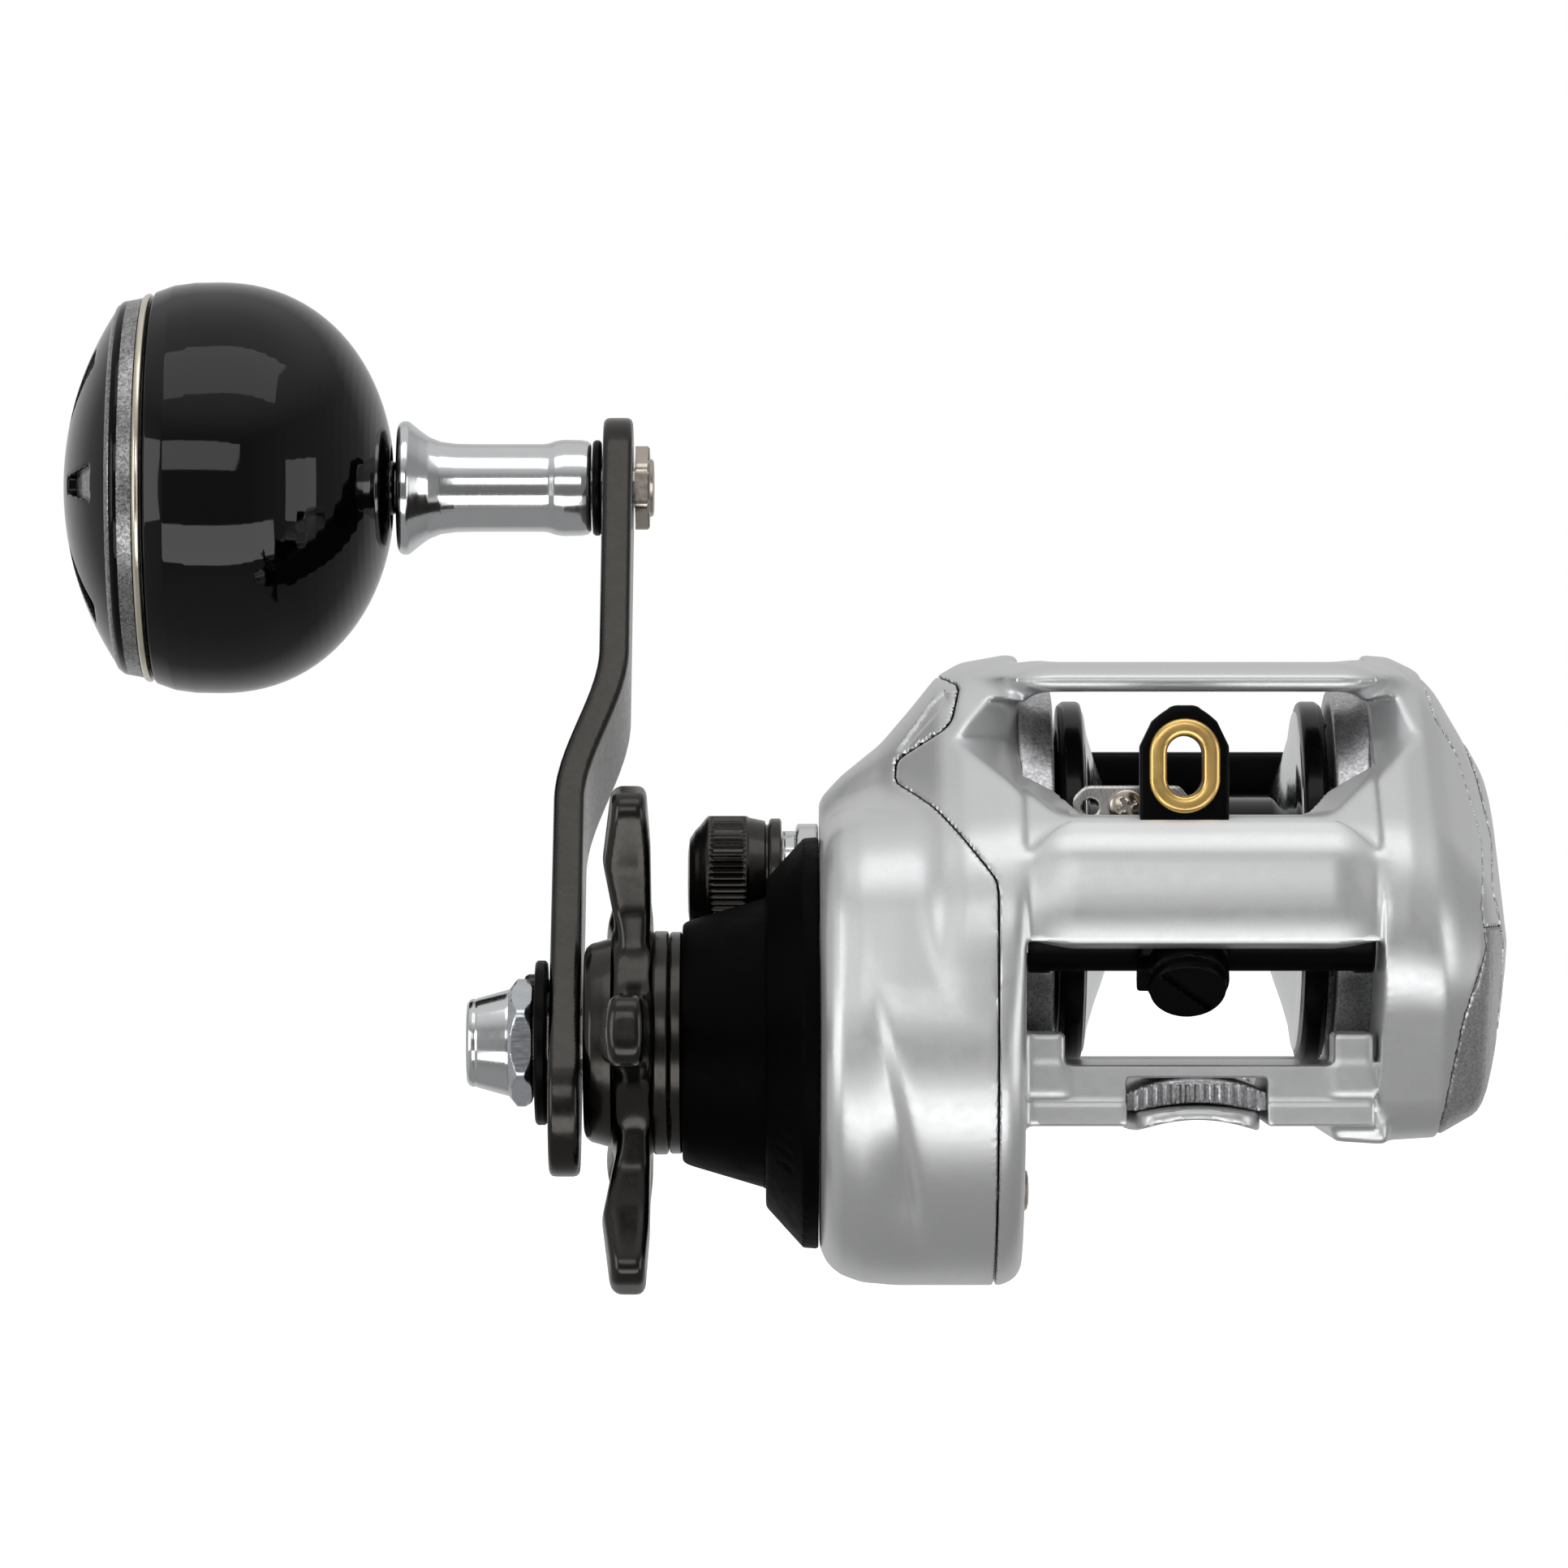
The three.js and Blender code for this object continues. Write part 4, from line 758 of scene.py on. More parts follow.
def palm_cover_field(x, y, z):
    """The palm side's outer shell."""
    part = smax(palm_side_field(x, y, z), SEAM - palm_split(x, y, z, PALM_OUTER_SEAM), 0.4)
    return smax(part, -palm_hollow(x, y, z), 0.3)


def body_shells():
    """Each shell: its name, field, corners, steps, finish and the CAD node it stands for."""
    coarse, fine = (0.42, 0.9), (0.32, 0.7)
    for name, field, low, high, steps, material, node in (
            ("frame_casting", frame_field, (-37, -40, -22), (36, 33, 57), coarse, "silver_paint", "frame"),
            ("gear_cover", gear_cover_field, (-46, -41, -22), (-22, 33, 56), coarse, "silver_paint",
             "gear_side_cover"),
            ("palm_band_low", palm_band_low, (27, -40, -4), (38, 33, BAND_SPLIT), fine, "band_grey",
             "palm_side_band"),
            ("palm_band_high", palm_band_high, (27, -40, BAND_SPLIT), (38, 33, 56), fine, "silver_paint",
             "palm_side_band"),
            ("palm_cover", palm_cover_field, (29, -40, -4), (40, 33, 56), fine, "silver_paint",
             "palm_side_cover")):
        carved(name, field, low, high, steps, material, "frame", node)


body_shells()


# ---- knob and its sleeve
KNOB_R = 25.8
CAP_APEX, CAP_CURVE = -138.6, 40.2
CAP_WINDOWS = 6


def ball_profile():
    """The ball's outline from its seam to its neck, with a dished end round the axle."""
    middle, half_length, power = -119.0, 21.9, 2.15
    crown = [(-127.3, 3.2), (-127.3, 23.9), (-126.9, 24.6), (-124.6, 25.4), (-122.0, 25.75), (middle, KNOB_R)]
    tail = []
    for i in range(1, 25):
        t = 0.985 * math.sin(math.pi / 2 * i / 24)
        tail.append((middle + half_length * t, KNOB_R * (1 - t ** power) ** (1 / power)))
    neck = [(-98.3, 4.6), (-99.4, 4.0), (-99.9, 3.5), (-97.4, 3.4), (-96.9, 3.2)]
    return crown + [p for p in tail if p[1] > 5.4] + neck


def cap_field(x, y, z):
    """A thin dome with slots between its spokes."""
    ry, rz = y - KNOB[0], z - KNOB[1]
    r = np.hypot(ry, rz)
    centre = CAP_APEX + CAP_CURVE
    dome = np.hypot(x - centre, r) - CAP_CURVE
    shell = smax(smax(dome, -(dome + 1.3), 0.2), r - 23.5, 0.5)
    turn = 2 * math.pi / CAP_WINDOWS
    angle = (np.arctan2(rz, -ry) + turn / 2) % turn - turn / 2
    across = np.abs(angle) * r
    slot = smax(across - (0.8 + 0.13 * (r - 8)), slab(r, 9.5, 18.5), 0.5)
    return smax(shell, -slot, 0.35)


def knob():
    """The ball with its ring, glitter insert and end cap."""
    turned_ring("knob_ball_shell", KNOB, ball_profile(), 0.2, 160, "gloss_black", "knob", "knob_ball")
    seam = [(-128.4, 20.5), (-128.4, 24.05), (-128.15, 24.3), (-127.7, 24.4), (-127.5, 24.2), (-127.5, 20.5)]
    turned_ring("knob_seam_ring", KNOB, seam, 0.1, 160, "champagne", "knob", "knob_ring")
    insert = [(-128.5, 20.0), (-128.5, 23.85), (-130.6, 23.45), (-131.6, 22.9), (-133.6, 18.6), (-135.2, 14),
              (-136.4, 9), (-137.0, 0), (-135.0, 0), (-134.0, 9), (-131.0, 18)]
    turned("knob_glitter_insert", KNOB, insert, 0.2, 160, "glitter", "knob", "knob_insert")
    low, high = ((x, KNOB[0] + side * 24, KNOB[1] + side * 24) for x, side in ((-139, -1), (-130.5, 1)))
    carved("knob_cap_dome", cap_field, low, high, (0.28, 0.5), "dark_chrome", "knob", "knob_cap")
    button = [(-138.55, 0), (-138.5, 1.8), (-138.0, 2.2), (-137.3, 2.2), (-137.3, 0)]
    turned("knob_cap_button", KNOB, button, 0.15, 48, "dark_chrome", "knob")


def knob_mount():
    """What holds the knob on the arm: a chrome sleeve, a washer and the axle's nut."""
    sleeve = [(-96.7, 2.7), (-96.7, 7.7), (-96.4, 8.2), (-95.9, 8.4), (-95.3, 8.35), (-95.0, 8.1),
              (-93.9, 7.2), (-92.8, 6.4), (-91.3, 5.8), (-89.4, 5.55), (-87, 5.5), (-78.4, 5.5), (-77.7, 5.6),
              (-76.9, 5.9), (-75.9, 6.05), (-73.6, 6.0), (-72.8, 5.85), (-72.4, 5.5), (-72.4, 2.7)]
    turned_ring("knob_sleeve_turned", KNOB, sleeve, 0.2, 128, "chrome", "knob", "knob_sleeve")
    washer = [(-72.2, 2.8), (-72.2, 5.7), (-71.9, 6.0), (-71.4, 6.0), (-71.1, 5.7), (-71.1, 2.8)]
    turned_ring("knob_washer_ring", KNOB, washer, 0.1, 96, "black_plastic", "knob", "knob_washer")
    nut = [(-66.85, 2.6), (-66.85, 5.25), (-65.3, 5.25), (-65.05, 5.0), (-65.05, 3.7), (-64.6, 3.5),
           (-64.5, 2.9), (-64.5, 0), (-66.2, 0), (-66.2, 2.6)]
    turned("knob_nut_hex", KNOB, nut, 0.1, 96, "nickel", "handle", "knob_nut", shape=hexagon(4.75, -65.2))


def hexagon(apothem, until, start=-1e9):
    """A lathe shape that trims the radius to a hexagon between two x."""
    def trim(angle, x, r):
        if not start < x <= until:
            return r
        sixth = math.pi / 3
        return min(r, apothem / math.cos((angle + sixth / 2) % sixth - sixth / 2))
    return trim


# ---- handle
ARM_LOW, ARM_HIGH = -74.15, -69.0  # the arm's middle, in x, at the shaft and at the knob
ARM_BEND = (31.5, 55.5)
ARM_HALF = 1.85
ARM_TAIL = -8.9  # the low round end's centre, past the shaft


def arm_field(x, y, z):
    """A flat bar with round ends, stepped inward half way along."""
    ey, ez = math.sin(HANDLE_TILT), math.cos(HANDLE_TILT)
    u = (y - DRIVE[0]) * ey + (z - DRIVE[1]) * ez
    v = (y - DRIVE[0]) * ez - (z - DRIVE[1]) * ey
    bend = ramp(u, *ARM_BEND)
    middle = ARM_LOW + (ARM_HIGH - ARM_LOW) * bend
    length = ARM_BEND[1] - ARM_BEND[0]
    t = np.clip((u - ARM_BEND[0]) / length, 0, 1)
    slope = (ARM_HIGH - ARM_LOW) * 6 * t * (1 - t) / length
    flat = np.abs(x - middle) / np.sqrt(1 + slope * slope) - ARM_HALF
    waist = 1.0 * np.sin(np.pi * np.clip(u / HANDLE_LENGTH, 0, 1))
    end_u = u - np.clip(u, ARM_TAIL, HANDLE_LENGTH)
    outline = np.hypot(end_u, v) - (8.8 - waist)
    bar = smax(flat, outline, 0.9)
    drive_hole = np.hypot(u, v) - 3.9
    knob_hole = np.hypot(u - HANDLE_LENGTH, v) - 2.8
    return smax(bar, -np.minimum(drive_hole, knob_hole), 0.2)


def handle():
    """The arm, the two-part nut that holds it, and the plate and screw that lock the nut."""
    carved("handle_arm_bar", arm_field, (-77, -25, -8), (-66, 56, 86), (0.45, 0.8), "gunmetal", "handle",
           "handle_arm", sharp=40)
    cap = [(-85.9, 0), (-85.9, 4.7), (-85.6, 5.1), (-85.1, 5.3), (-84.9, 5.2), (-84.6, 5.35), (-81.2, 6.3),
           (-80.95, 6.35), (-80.6, 6.0), (-80.6, 0)]
    turned("handle_nut_cap", DRIVE, cap, 0.1, 128, "chrome", "handle", "handle_nut")
    hexed = [(-80.95, 0), (-80.95, 6.3), (-80.4, 7.0), (-79.9, 7.6), (-78.9, 7.6), (-78.2, 7.1),
             (-77.95, 6.4), (-77.95, 0)]
    turned("handle_nut_hex", DRIVE, hexed, 0.15, 144, "brushed_hex", "handle", "handle_nut",
           shape=hexagon(6.75, -78.1, -80.8))
    plate = [(-77.75, 4.3), (-77.75, 9.5), (-77.45, 9.8), (-76.6, 9.8), (-76.3, 9.5), (-76.3, 4.3)]
    turned_ring("nut_retainer_plate", DRIVE, plate, 0.1, 128, "black_plastic", "handle", "nut_retainer")
    screw_axis = (DRIVE[0] + 5.4, DRIVE[1] + 6.6)
    put(screw("retainer_screw_head", screw_axis, -79.3, -1, 1.45, 1.5, 0.8), "gunmetal", "handle",
        "retainer_screw")


def screw(name, axis, face, side, head_r, head_deep, shank_r, reach=3.0):
    """A pan-head screw whose face looks along side (-1 is -X), with a cross recess."""
    def x(depth):
        return face - side * depth
    profile = [(x(0.25), 0), (x(0), 0.55 * head_r), (x(0.18), 0.85 * head_r), (x(0.6), head_r),
               (x(head_deep), head_r), (x(head_deep), shank_r), (x(head_deep + reach), shank_r),
               (x(head_deep + reach), 0)]

    def recess(angle, place, r):
        near = abs(place - face) < 0.22 and r < 0.7 * head_r
        return r * (0.72 + 0.28 * abs(math.cos(2 * angle)) ** 0.5) if near else r
    return lathe(name, axis, profile, 0.08, 64, shape=recess)


# ---- star drag and the nose
STAR_FIRST = math.radians(13.4)
STAR_TIP = 31.0
STAR_X = -66.1


def star_field(x, y, z):
    """A hub with five waisted arms that swell in thickness two thirds out."""
    ry, rz = y - DRIVE[0], z - DRIVE[1]
    r = np.hypot(ry, rz)
    turn = 2 * math.pi / 5
    angle = (np.arctan2(-ry, rz) - STAR_FIRST + turn / 2) % turn - turn / 2
    u, v = r * np.cos(angle), r * np.sin(angle)
    half = along(u, [(8, 7.2), (13, 5.2), (17, 3.7), (22, 3.5), (28, 4.1), (32, 4.3)])
    plan = smax(np.abs(v) - half, u - STAR_TIP, 3.0)
    left = along(u, [(12, -68.4), (15, -68.3), (22.5, -69.7), (30.5, -68.7), (32, -68.0)])
    right = along(u, [(12, -63.85), (24, -64.0), (31, -64.5)])
    crowned = 0.035 * v * v
    blade = smax(plan, np.maximum(left + crowned - x, x - right + 0.4 * crowned), 1.1)
    hub = smax(r - 13.0, slab(x, -68.35, -63.9), 0.8)
    return smax(smin(hub, blade, 1.4), 7.0 - r, 0.2)


def star_and_rings():
    """The star wheel, and the rings on the shaft between it and the nose."""
    carved("star_wheel_arms", star_field, (-70.5, DRIVE[0] - 32, DRIVE[1] - 30),
           (-63, DRIVE[0] + 28, DRIVE[1] + 32), (0.4, 0.7), "gunmetal", "star", "star_wheel", sharp=45)
    bell = [(-71.95, 4.6), (-71.95, 10.6), (-71.7, 11.3), (-71.1, 11.8), (-70, 12.1), (-68.6, 12.5),
            (-68.6, 4.6)]
    turned_ring("bell_spacer_turned", DRIVE, bell, 0.2, 128, "gunmetal", "handle", "bell_spacer")
    click = [(-63.75, 7), (-63.75, 13.0), (-63.45, 13.3), (-62.1, 13.3), (-61.86, 13.0), (-61.86, 7)]
    turned_ring("star_click_turned", DRIVE, click, 0.12, 128, "gunmetal", "star", "star_click_ring")
    ring = [(-61.78, 7), (-61.78, 12.9), (-61.55, 13.2), (-60.45, 13.2), (-60.3, 13.0), (-60.3, 7)]
    turned_ring("nose_ring_turned", DRIVE, ring, 0.12, 128, "gunmetal", "frame", "nose_ring")


NOSE_SCALLOP_R = 8.35
FLANGE_CONE = ([-50.4, -45.9, -44], [19.4, 24.35, 24.5])  # x, and the flange's radius there
NOSE_TICKS = 5


def nose_field(x, y, z):
    """The stepped cone over the clutch, hollow, cut back round the cast control."""
    r = radius_about(DRIVE, y, z)
    outer = along(x, [(-60.6, 13.9), (-60.2, 14.25), (-59.2, 14.65), (-50.6, 17.2), (-50.3, 17.3)])
    cone = smax(r - outer, slab(x, -60.25, -49), 0.5)
    flange = smax(r - np.interp(x, *FLANGE_CONE), slab(x, -50.35, -44.1), 0.35)
    solid = np.minimum(cone, flange)
    hollow = np.minimum(smax(r - 12.4, slab(x, -59, -30), 0.2), smax(r - 15.2, slab(x, -50, -30), 0.2))
    scallop = np.maximum(radius_about(SPOOL, y, z) - NOSE_SCALLOP_R, x + 46.2)
    part = smax(smax(smax(solid, -hollow, 0.3), -scallop, 0.5), 9.0 - r, 0.2)
    return smax(part, -nose_ticks(x, y, z), 0.12)


def nose_ticks(x, y, z):
    """Short plain dashes cut into the flange's cone, low at the front."""
    ry, rz = y - DRIVE[0], z - DRIVE[1]
    r = np.hypot(ry, rz)
    pitch = math.radians(5.2)
    angle = np.arctan2(-rz, -ry) - math.radians(18)
    number = np.clip(np.round(angle / pitch), 0, NOSE_TICKS - 1)
    across = np.abs(angle - number * pitch) * r - 0.22
    cone = r - np.interp(x, *FLANGE_CONE) + 0.25
    return np.maximum(np.maximum(across, slab(x, -48.8, -47.2)), -cone)


def nose():
    """The black housing round the handle shaft."""
    carved("nose_housing_shell", nose_field, (-61, DRIVE[0] - 25, DRIVE[1] - 25),
           (-43.8, DRIVE[0] + 25, DRIVE[1] + 25), (0.42, 0.8), "matte_black", "frame", "nose_housing",
           sharp=30)


CAP_RIDGES = 64
KNURL = (-57.2, -52.7)  # where the cap's ridges begin and end


def cast_control():
    """The knurled cap and the chrome neck behind it."""
    def knurl(angle, x, r):
        if not (KNURL[0] < x < KNURL[1] and r > 7.2):
            return r
        fade = min(1, (x - KNURL[0]) / 0.5, (KNURL[1] - x) / 0.5)
        return r - 0.34 * fade * (0.5 + 0.5 * math.cos(CAP_RIDGES * angle))
    band = [(-57.3 + 4.6 * i / 12, 7.95) for i in range(13)]
    cap = [(-59.8, 0), (-59.75, 3.6), (-59.55, 5.2), (-58.9, 6.2), (-58.4, 6.7), (-57.6, 7.7)] + band + [
        (-52.4, 7.75), (-50.5, 7.35), (-50.4, 6.9), (-50.1, 6.9), (-49.95, 7.5), (-49.7, 7.65), (-48.7, 7.65),
        (-48.5, 7.3), (-48.5, 6.2), (-57.6, 6.2), (-57.6, 0)]
    turned("cast_control_knob", SPOOL, cap, 0.08, CAP_RIDGES * 6, "gunmetal", "cast_control",
           "cast_control_cap", shape=knurl, sharp=50)
    neck = [(-48.3, 2.5), (-48.3, 5.8), (-48.1, 6.05), (-46.9, 6.05), (-46.7, 6.8), (-46.4, 7.0),
            (-44.3, 7.0), (-44.1, 6.7), (-44.1, 2.5)]
    turned_ring("cast_control_neck", SPOOL, neck, 0.12, 96, "chrome", "frame")


# ---- spool and the rings round it
SPOOL_MIDDLE = 0.5
ARBOR_R = 10.2


def spool():
    """Dark rims, bright dished faces and a black arbor."""
    for side, word in ((-1, "left"), (1, "right")):
        # Each part's profile, as (distance from the spool's middle, radius).
        rim = [(12.7, 17.5), (12.9, 20.7), (13.1, 21.5), (13.5, 21.75), (15.2, 21.75), (15.9, 21.2),
               (15.95, 18.6), (15.4, 17.5)]
        dish = [(9.8, ARBOR_R - 0.2), (10.4, 12), (11.4, 14.8), (12.35, 18), (12.75, 20.6), (13.4, 20.4),
                (13.6, 17.0), (12.9, 12.5), (12.6, ARBOR_R - 0.2)]
        web = [(12.7, 2.2), (12.7, 17.6), (14.2, 17.6), (14.2, 12), (14.8, 6.5), (14.8, 2.2)]
        for part, half_profile, radius, segments, material in (
                ("rim", rim, 0.2, 160, "black_anodise"), ("dish", dish, 0.5, 160, "chrome"),
                ("web", web, 0.3, 96, "black_anodise")):
            profile = [(SPOOL_MIDDLE + side * distance, r) for distance, r in half_profile]
            turned_ring(f"spool_{part}_{word}", SPOOL, profile, radius, segments, material, "spool", "spool")
    arbor = [(-12.1, 9.0), (-12.1, ARBOR_R), (13.1, ARBOR_R), (13.1, 9.0)]
    turned_ring("spool_arbor", SPOOL, arbor, 0.2, 128, "black_anodise", "spool", "spool")


def side_rings():
    """The bare cast rings that stand in from the side plates round the spool's rims."""
    for word, low, high in (("left", -20.3, -16.15), ("right", 17.15, 21.5)):
        ring = [(low, 18.9), (low, 23.15), (high, 23.15), (high, 18.9)]
        turned_ring(f"side_ring_{word}", SPOOL, ring, 0.5, 160, "bare_casting", "frame", "frame")


# ---- line guide and what lies across the frame
GUIDE_X = -1.5
RING_Z = 41.3
GUIDE_BAR = (-29.1, 30.6)  # the bar that the carriage slides on, as (y, z)


def guide_field(x, y, z):
    """The carriage: a plate with a drawn-in top, and the barrel that rides on the worm tube."""
    u = x - GUIDE_X
    half = np.interp(z, [0, 43.6, 46.5, 47.9, 60], [5.25, 5.2, 3.8, 2.2, 0])
    plate = smax(np.abs(u) - half, slab(z, 24, 48.4), 1.4)
    plate = smax(plate, slab(y, -30.9, -27.3), 0.6)
    barrel = smax(radius_about(WORM, y, z) - 6.35, np.abs(u) - 5.25, 0.6)
    body = smin(plate, barrel, 1.2)
    bore = radius_about(WORM, y, z) - 4.9
    slot = ring_outline(x, z, 2.2, 3.6) + 0.1
    bar = radius_about(GUIDE_BAR, y, z) - 1.45
    return smax(body, -np.minimum(np.minimum(bore, slot), bar), 0.25)


def ring_outline(x, z, half_width, half_height):
    """Distance to a racetrack round the line opening."""
    reach = half_height - half_width
    end = np.maximum(np.abs(z - RING_Z) - reach, 0)
    return np.hypot(x - GUIDE_X, end) - half_width


def line_ring_field(x, y, z):
    """The rounded gold band in the carriage's opening."""
    outline = ring_outline(x, z, 3.12, 4.55)
    return smax(np.abs(outline) - 1.02, slab(y, -31.95, -28.6), 0.75)


def pawl_cap_field(x, y, z):
    """A slotted screw cap that looks forward and down, in the carriage's boss."""
    c = math.sqrt(0.5)
    dx, dy, dz = x - (GUIDE_X + 0.3), y + 30.8, z - 16.8
    out, up = -(dy + dz) * c, (dz - dy) * c
    r = np.hypot(dx, up)
    boss = smax(r - 4.9, slab(out, -2.0, 1.1), 0.5)
    head = smax(r - 4.5, slab(out, 0, 2.6), 0.7)
    tab = box_field(dx, out, up, (-5.9, -1.0, -1.5), (-3.0, 1.2, 2.2), 0.4)
    slot = np.maximum(np.abs((dx + up) * c) - 0.5, -(out - 2.0))
    return smax(np.minimum(np.minimum(boss, head), tab), -np.maximum(slot, r - 4.0), 0.2)


BRACKET_SCREW = (-7.9, 36.5)  # x, z
BRACKET = [(-14.2, 28.6), (0, 28.6), (0, 37), (-1.6, 39), (-12.8, 39), (-14.2, 37.6)]


def bracket_field(x, y, z):
    """The small sheet bracket behind the carriage."""
    plate = smax(polygon_field(x, z, BRACKET, 0.5), slab(y, -20.4, -19.4), 0.2)
    screw_hole = np.hypot(x - BRACKET_SCREW[0], z - BRACKET_SCREW[1]) - 1.15
    holes = np.minimum(np.hypot(x + 12.1, z - 36.5) - 1.0, screw_hole)
    return smax(plate, -holes, 0.12)


def cross_head(name, x, y, z, r):
    """A pan-head screw that looks along -Y, with a cross recess."""
    def field(px, py, pz):
        rr = np.hypot(px - x, pz - z)
        dome = smax(smax(rr - r, np.hypot(rr, py - y - 4.2) - 4.2, 0.2), py - y - 1.9, 0.2)
        shank = np.maximum(rr - 0.95, slab(py, y + 1.6, y + 2.6))
        cu, cv = (px - x) * 0.87 + (pz - z) * 0.5, (pz - z) * 0.87 - (px - x) * 0.5
        cu, cv = np.abs(cu), np.abs(cv)
        arms = np.minimum(np.maximum(cu - 0.26, cv - 1.2), np.maximum(cv - 0.26, cu - 1.2))
        return np.maximum(np.minimum(dome, shank), -np.maximum(arms, py - y - 0.9))
    step = 0.12
    return surface(name, field, (x - r, y - 0.1, z - r), (x + r, y + 2.7, z + r), step, sharp=25)


def thumb_bar_field(x, y, z):
    """The bowed bar behind the spool, ribbed where the thumb rests."""
    section = smax(np.abs(y - 29.0) - 2.5 + 0.05 * (z - 40.3) ** 2 / 2, slab(z, 37.55, 43.15), 1.2)
    bar = smax(section, slab(x, -19.5, 20.7), 0.8)
    ribs = np.maximum(np.abs((x % 2.4) - 1.2) - 0.35, np.maximum(slab(x, -11, 12.5), z - 43.4))
    grip = np.maximum(np.maximum(ribs, 42.75 - z), 29.6 - y)
    return smax(bar, -grip, 0.25)


def worm_tube():
    """The black tube that guards the worm, with its slot facing the pawl."""
    def field(x, y, z):
        ry, rz = y - WORM[0], z - WORM[1]
        r = np.hypot(ry, rz)
        wall = smax(smax(r - 4.55, 3.75 - r, 0.1), slab(x, -19.7, 20.9), 0.3)
        slot = np.maximum(np.maximum(np.abs(ry) - 1.3, rz), slab(x, -17, 18.5))
        return smax(wall, -slot, 0.2)
    carved("worm_guard_tube", field, (-20, -30.5, 16.5), (21.2, -20.5, 26.5), (0.3, 0.5), "black_plastic",
           "frame", "worm_tube")


def level_wind():
    """The line guide, its ring and cap, and the parts near it that lie across the frame."""
    carved("line_guide_carriage", guide_field, (-7.2, -32, 14.8), (4.2, -18.9, 48.8), (0.3, 0.5),
           "black_plastic", "line_guide", "line_guide")
    carved("line_ring_insert", line_ring_field, (-5.8, -32, 35.4), (2.8, -28, 47.2), (0.22, 0.4),
           "gold", "line_guide", "line_ring", sharp=60)
    carved("pawl_screw_cap", pawl_cap_field, (-7.4, -35.6, 11.0), (4.2, -26, 21), (0.25, 0.4),
           "black_plastic", "line_guide", "pawl_cap")
    carved("bracket_plate", bracket_field, (-14.4, -20.6, 28.4), (0.2, -19.2, 39.2), (0.18, 0.3),
           "steel", "frame", "bracket")
    put(cross_head("bracket_screw_head", BRACKET_SCREW[0], -22.1, BRACKET_SCREW[1], 2.1), "nickel", "frame",
        "bracket_screw")
    carved("thumb_bar_moulding", thumb_bar_field, (-19.8, 26, 37.2), (21, 32, 43.6), (0.3, 0.5),
           "black_plastic", "thumb_bar", "thumb_bar")
    worm_tube()


SIDE_SCREWS = [(-27.0, -8.3), (6.5, -12.5)]  # y, z


def side_screws():
    """The heads of the screws that hold the gear-side cover."""
    for number, place in enumerate(SIDE_SCREWS, start=1):
        put(screw(f"side_screw_{number}_head", place, -19.6, 1, 2.6, 1.2, 1.2), "nickel", "frame",
            f"side_screw_{number}")


# ---- reel foot
def foot_field(x, y, z):
    """The saddle foot: an arched strip that thins towards its ends."""
    reach = np.clip((np.abs(y) - 6) / 26, 0, 1)
    arch = 0.027 * (x * x)
    top = 2.25 - 0.9 * reach ** 2 - arch * 0.55
    bottom = -0.1 - arch + 0.15 * reach
    half = 8.0 - 1.2 * reach ** 3
    outline = smax(np.abs(x) - half, np.abs(y) - 32.0, 3.0)
    return smax(np.maximum(bottom - z, z - top) * 0.95, outline, 0.5)


def foot_arch_field(x, y, z):
    """The ribbed crescent that joins the foot to the frame's base."""
    arch = np.hypot(x, z + 14.0) - 19.0
    block = smax(smax(arch, 1.9 - z - 0.02 * x * x, 0.3), slab(y, -29.0, 18), 0.6)
    block = smax(block, np.abs(x) - 8.2, 0.4)
    rib = np.abs(((x + 8.2) % 1.1) - 0.55) - 0.28
    groove = np.maximum(rib, np.maximum(y + 28.3, z - 4.1))
    return smax(block, -groove, 0.2)


def foot():
    """The saddle that a reel seat clamps, and the arch above it."""
    carved("reel_foot_saddle", foot_field, (-8.2, -32.2, -2), (8.2, 32.2, 2.6), (0.4, 0.7), "silver_paint",
           "frame", "reel_foot")
    carved("foot_arch_ribs", foot_arch_field, (-8.6, -29.4, 1.5), (8.6, 18.3, 5.4), (0.4 * 0.7, 0.7 * 0.7),
           "bare_casting", "frame", "reel_foot")


for build in (knob, knob_mount, handle, star_and_rings, nose, cast_control, spool, side_rings, level_wind,
              side_screws, foot):
    build()


# ---- carried-over CAD nodes
CARRIED = {
    "steel": ("foot_screw_1 foot_screw_2 roller_clutch shaft_bearing spool_bearing_gear_side "
              "spool_bearing_palm_side guide_bar yoke_spring_1 yoke_spring_2 spool_shaft cross_pin "
              "clutch_yoke worm_shaft pawl drive_shaft "
              "drag_pressure_plate knob_axle knob_bearing_inner knob_bearing_outer bracket"),
    "brass": "pinion main_gear level_wind_gear star_nut",
    "black_plastic": "brake_case worm_gear nut_retainer knob_washer worm_tube thumb_bar line_guide pawl_cap",
    "bare_casting": "brake_rotor reel_foot cast_control_boss",
    "carbon": "drag_washer",
    "nickel": "side_screw_1 side_screw_2 bracket_screw knob_nut retainer_screw",
    "gunmetal": "handle_arm bell_spacer star_wheel star_click_ring nose_ring cast_control_cap",
    "matte_black": "nose_housing",
    "black_anodise": "spool",
    "chrome": "handle_nut knob_sleeve",
    "gloss_black": "knob_ball",
    "gold": "line_ring",
    "champagne": "knob_ring",
    "glitter": "knob_insert",
    "dark_chrome": "knob_cap",
}


def finish_carried_nodes():
    for material, names in CARRIED.items():
        for name in names.split():
            node = frame["nodes"][name]
            if not node.material_slots:
                node.data.materials.append(None)
            for material_slot in node.material_slots:
                material_slot.material = MATERIALS[material]


finish_carried_nodes()


# ---- camera, light and floor
CAMERA_PLACE = (-0.0482, -1.010, 0.0392)
LENS = 192.9
MIDDLE = (-0.03, 0, 0.03)  # where the soft boxes aim

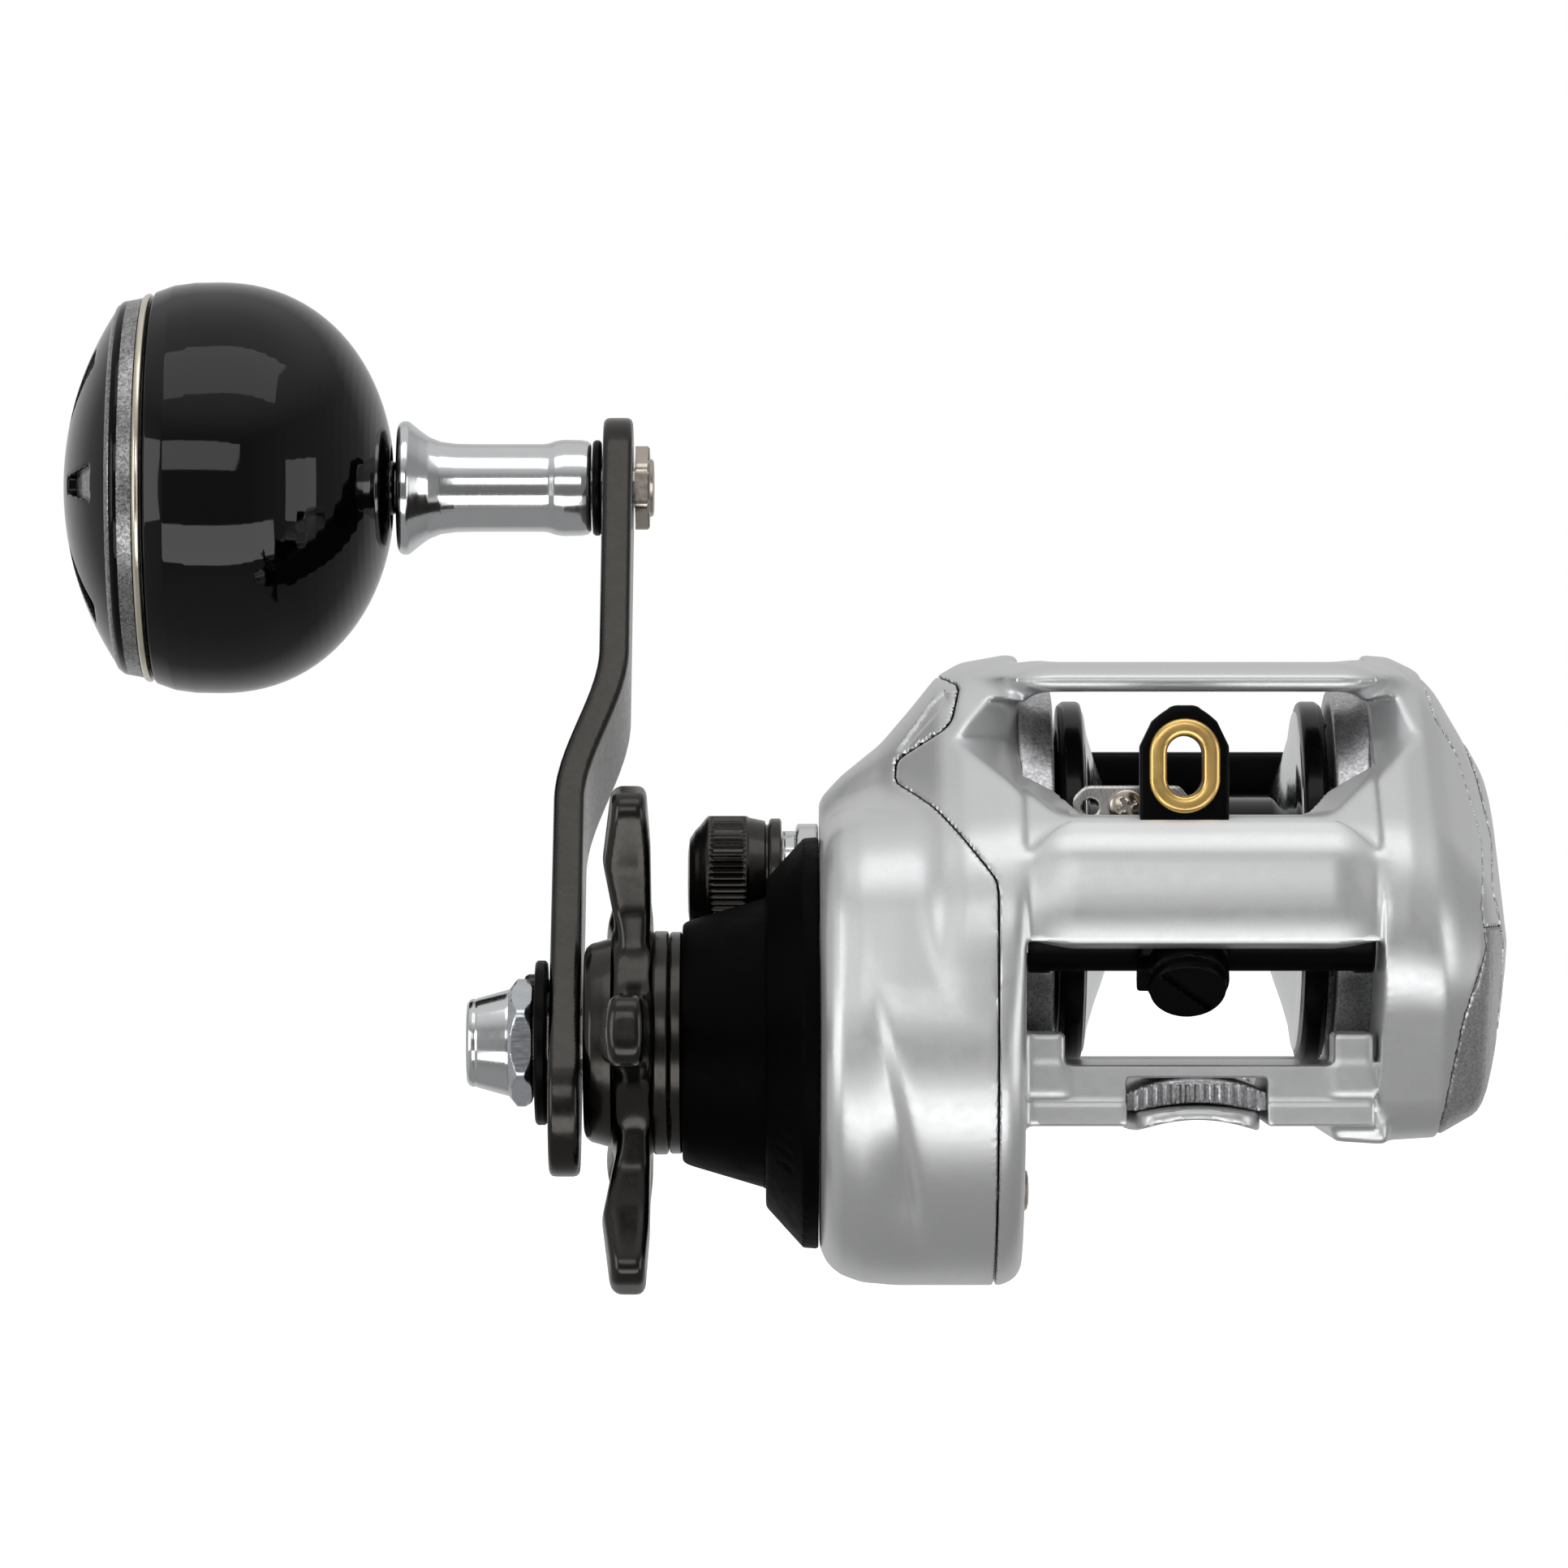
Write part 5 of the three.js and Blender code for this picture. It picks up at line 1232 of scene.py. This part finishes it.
# Each zone of the studio: an axis of the direction, where it fades in, and its brightness before and after.
WORLD_ZONES = [("Y", (0.35, 0.9), (0.18, 0.6)), ("Z", (0.35, 0.85), (0.18, 0.65)),
               ("Z", (-0.5, -0.9), (0.18, 0.3)), ("X", (0.3, 0.9), (0.18, 0.3)),
               ("X", (-0.3, -0.9), (0.18, 0.45))]
# Each soft box: its place, size and brightness, where 1 is paper white when it is seen in a mirror.
SOFT_BOXES = {
    "right_box": ((1.05, -0.55, 0.02), (0.6, 0.7), 1.7),
    "left_box": ((-1.0, -0.60, 0.12), (0.5, 0.8), 2.1),
    "top_box": ((0.0, -0.35, 1.05), (1.2, 0.6), 1.0),
    "low_box": ((-0.02, -0.88, -0.55), (1.5, 0.45), 2.4),
    "front_box": ((-0.25, -1.15, 0.42), (0.9, 0.35), 1.8),
}


def camera():
    """A long lens that looks straight along +Y."""
    data = bpy.data.cameras.new("camera")
    data.lens = LENS
    data.sensor_width = 36
    data.clip_end = 20
    obj = bpy.data.objects.new("camera", data)
    obj.location = CAMERA_PLACE
    obj.rotation_euler = (math.radians(90), 0, 0)
    bpy.context.scene.collection.objects.link(obj)
    bpy.context.scene.camera = obj


def soft_box(name, place, size, radiance):
    """An area light that aims at the object's middle."""
    data = bpy.data.lights.new(name, "AREA")
    data.shape = "RECTANGLE"
    data.size, data.size_y = size
    data.energy = radiance * math.pi * size[0] * size[1]
    obj = bpy.data.objects.new(name, data)
    obj.location = place
    obj.rotation_euler = (Vector(MIDDLE) - Vector(place)).to_track_quat("-Z", "Y").to_euler()
    bpy.context.scene.collection.objects.link(obj)


def studio_world():
    """A white room for the camera, and for light a shaded one: bright behind, overhead and low in front."""
    world = bpy.data.worlds.new("studio")
    bpy.context.scene.world = world
    world.use_nodes = True
    nodes, links = world.node_tree.nodes, world.node_tree.links
    axes = nodes.new("ShaderNodeSeparateXYZ")
    links.new(nodes.new("ShaderNodeTexCoord").outputs["Generated"], axes.inputs["Vector"])
    total = None
    for axis, source, target in WORLD_ZONES:
        zone = ramp_node(nodes, links, axes.outputs[axis], source, target)
        if total is None:
            total = zone
            continue
        brighter = nodes.new("ShaderNodeMath")
        brighter.operation = "MAXIMUM"
        links.new(total, brighter.inputs[0])
        links.new(zone, brighter.inputs[1])
        total = brighter.outputs[0]
    pick = nodes.new("ShaderNodeMix")
    pick.inputs[3].default_value = 1.0
    links.new(nodes.new("ShaderNodeLightPath").outputs["Is Camera Ray"], pick.inputs[0])
    links.new(total, pick.inputs[2])
    nodes["Background"].inputs["Color"].default_value = (1, 1, 1, 1)
    links.new(pick.outputs[0], nodes["Background"].inputs["Strength"])


def ramp_node(nodes, links, value, source, target):
    """A smooth step from one brightness to another."""
    node = nodes.new("ShaderNodeMapRange")
    node.interpolation_type = "SMOOTHSTEP"
    node.inputs["From Min"].default_value, node.inputs["From Max"].default_value = source
    node.inputs["To Min"].default_value, node.inputs["To Max"].default_value = target
    links.new(value, node.inputs["Value"])
    return node.outputs["Result"]


def studio():
    """The world, the soft boxes and a floor that only the camera sees."""
    studio_world()
    for name, (place, size, radiance) in SOFT_BOXES.items():
        soft_box(name, place, size, radiance)
    mesh = bpy.data.meshes.new("floor")
    half, level = 6.0, -0.12
    corners = [(x, y, level) for x, y in ((-half, -half), (half, -half), (half, half), (-half, half))]
    mesh.from_pydata(corners, [], [(0, 1, 2, 3)])
    floor = bpy.data.objects.new("floor", mesh)
    mesh.materials.append(floor_finish())
    bpy.context.scene.collection.objects.link(floor)
    floor.visible_glossy = False
    floor.visible_diffuse = False
    bpy.context.scene.view_settings.view_transform = "Standard"


camera()
studio()
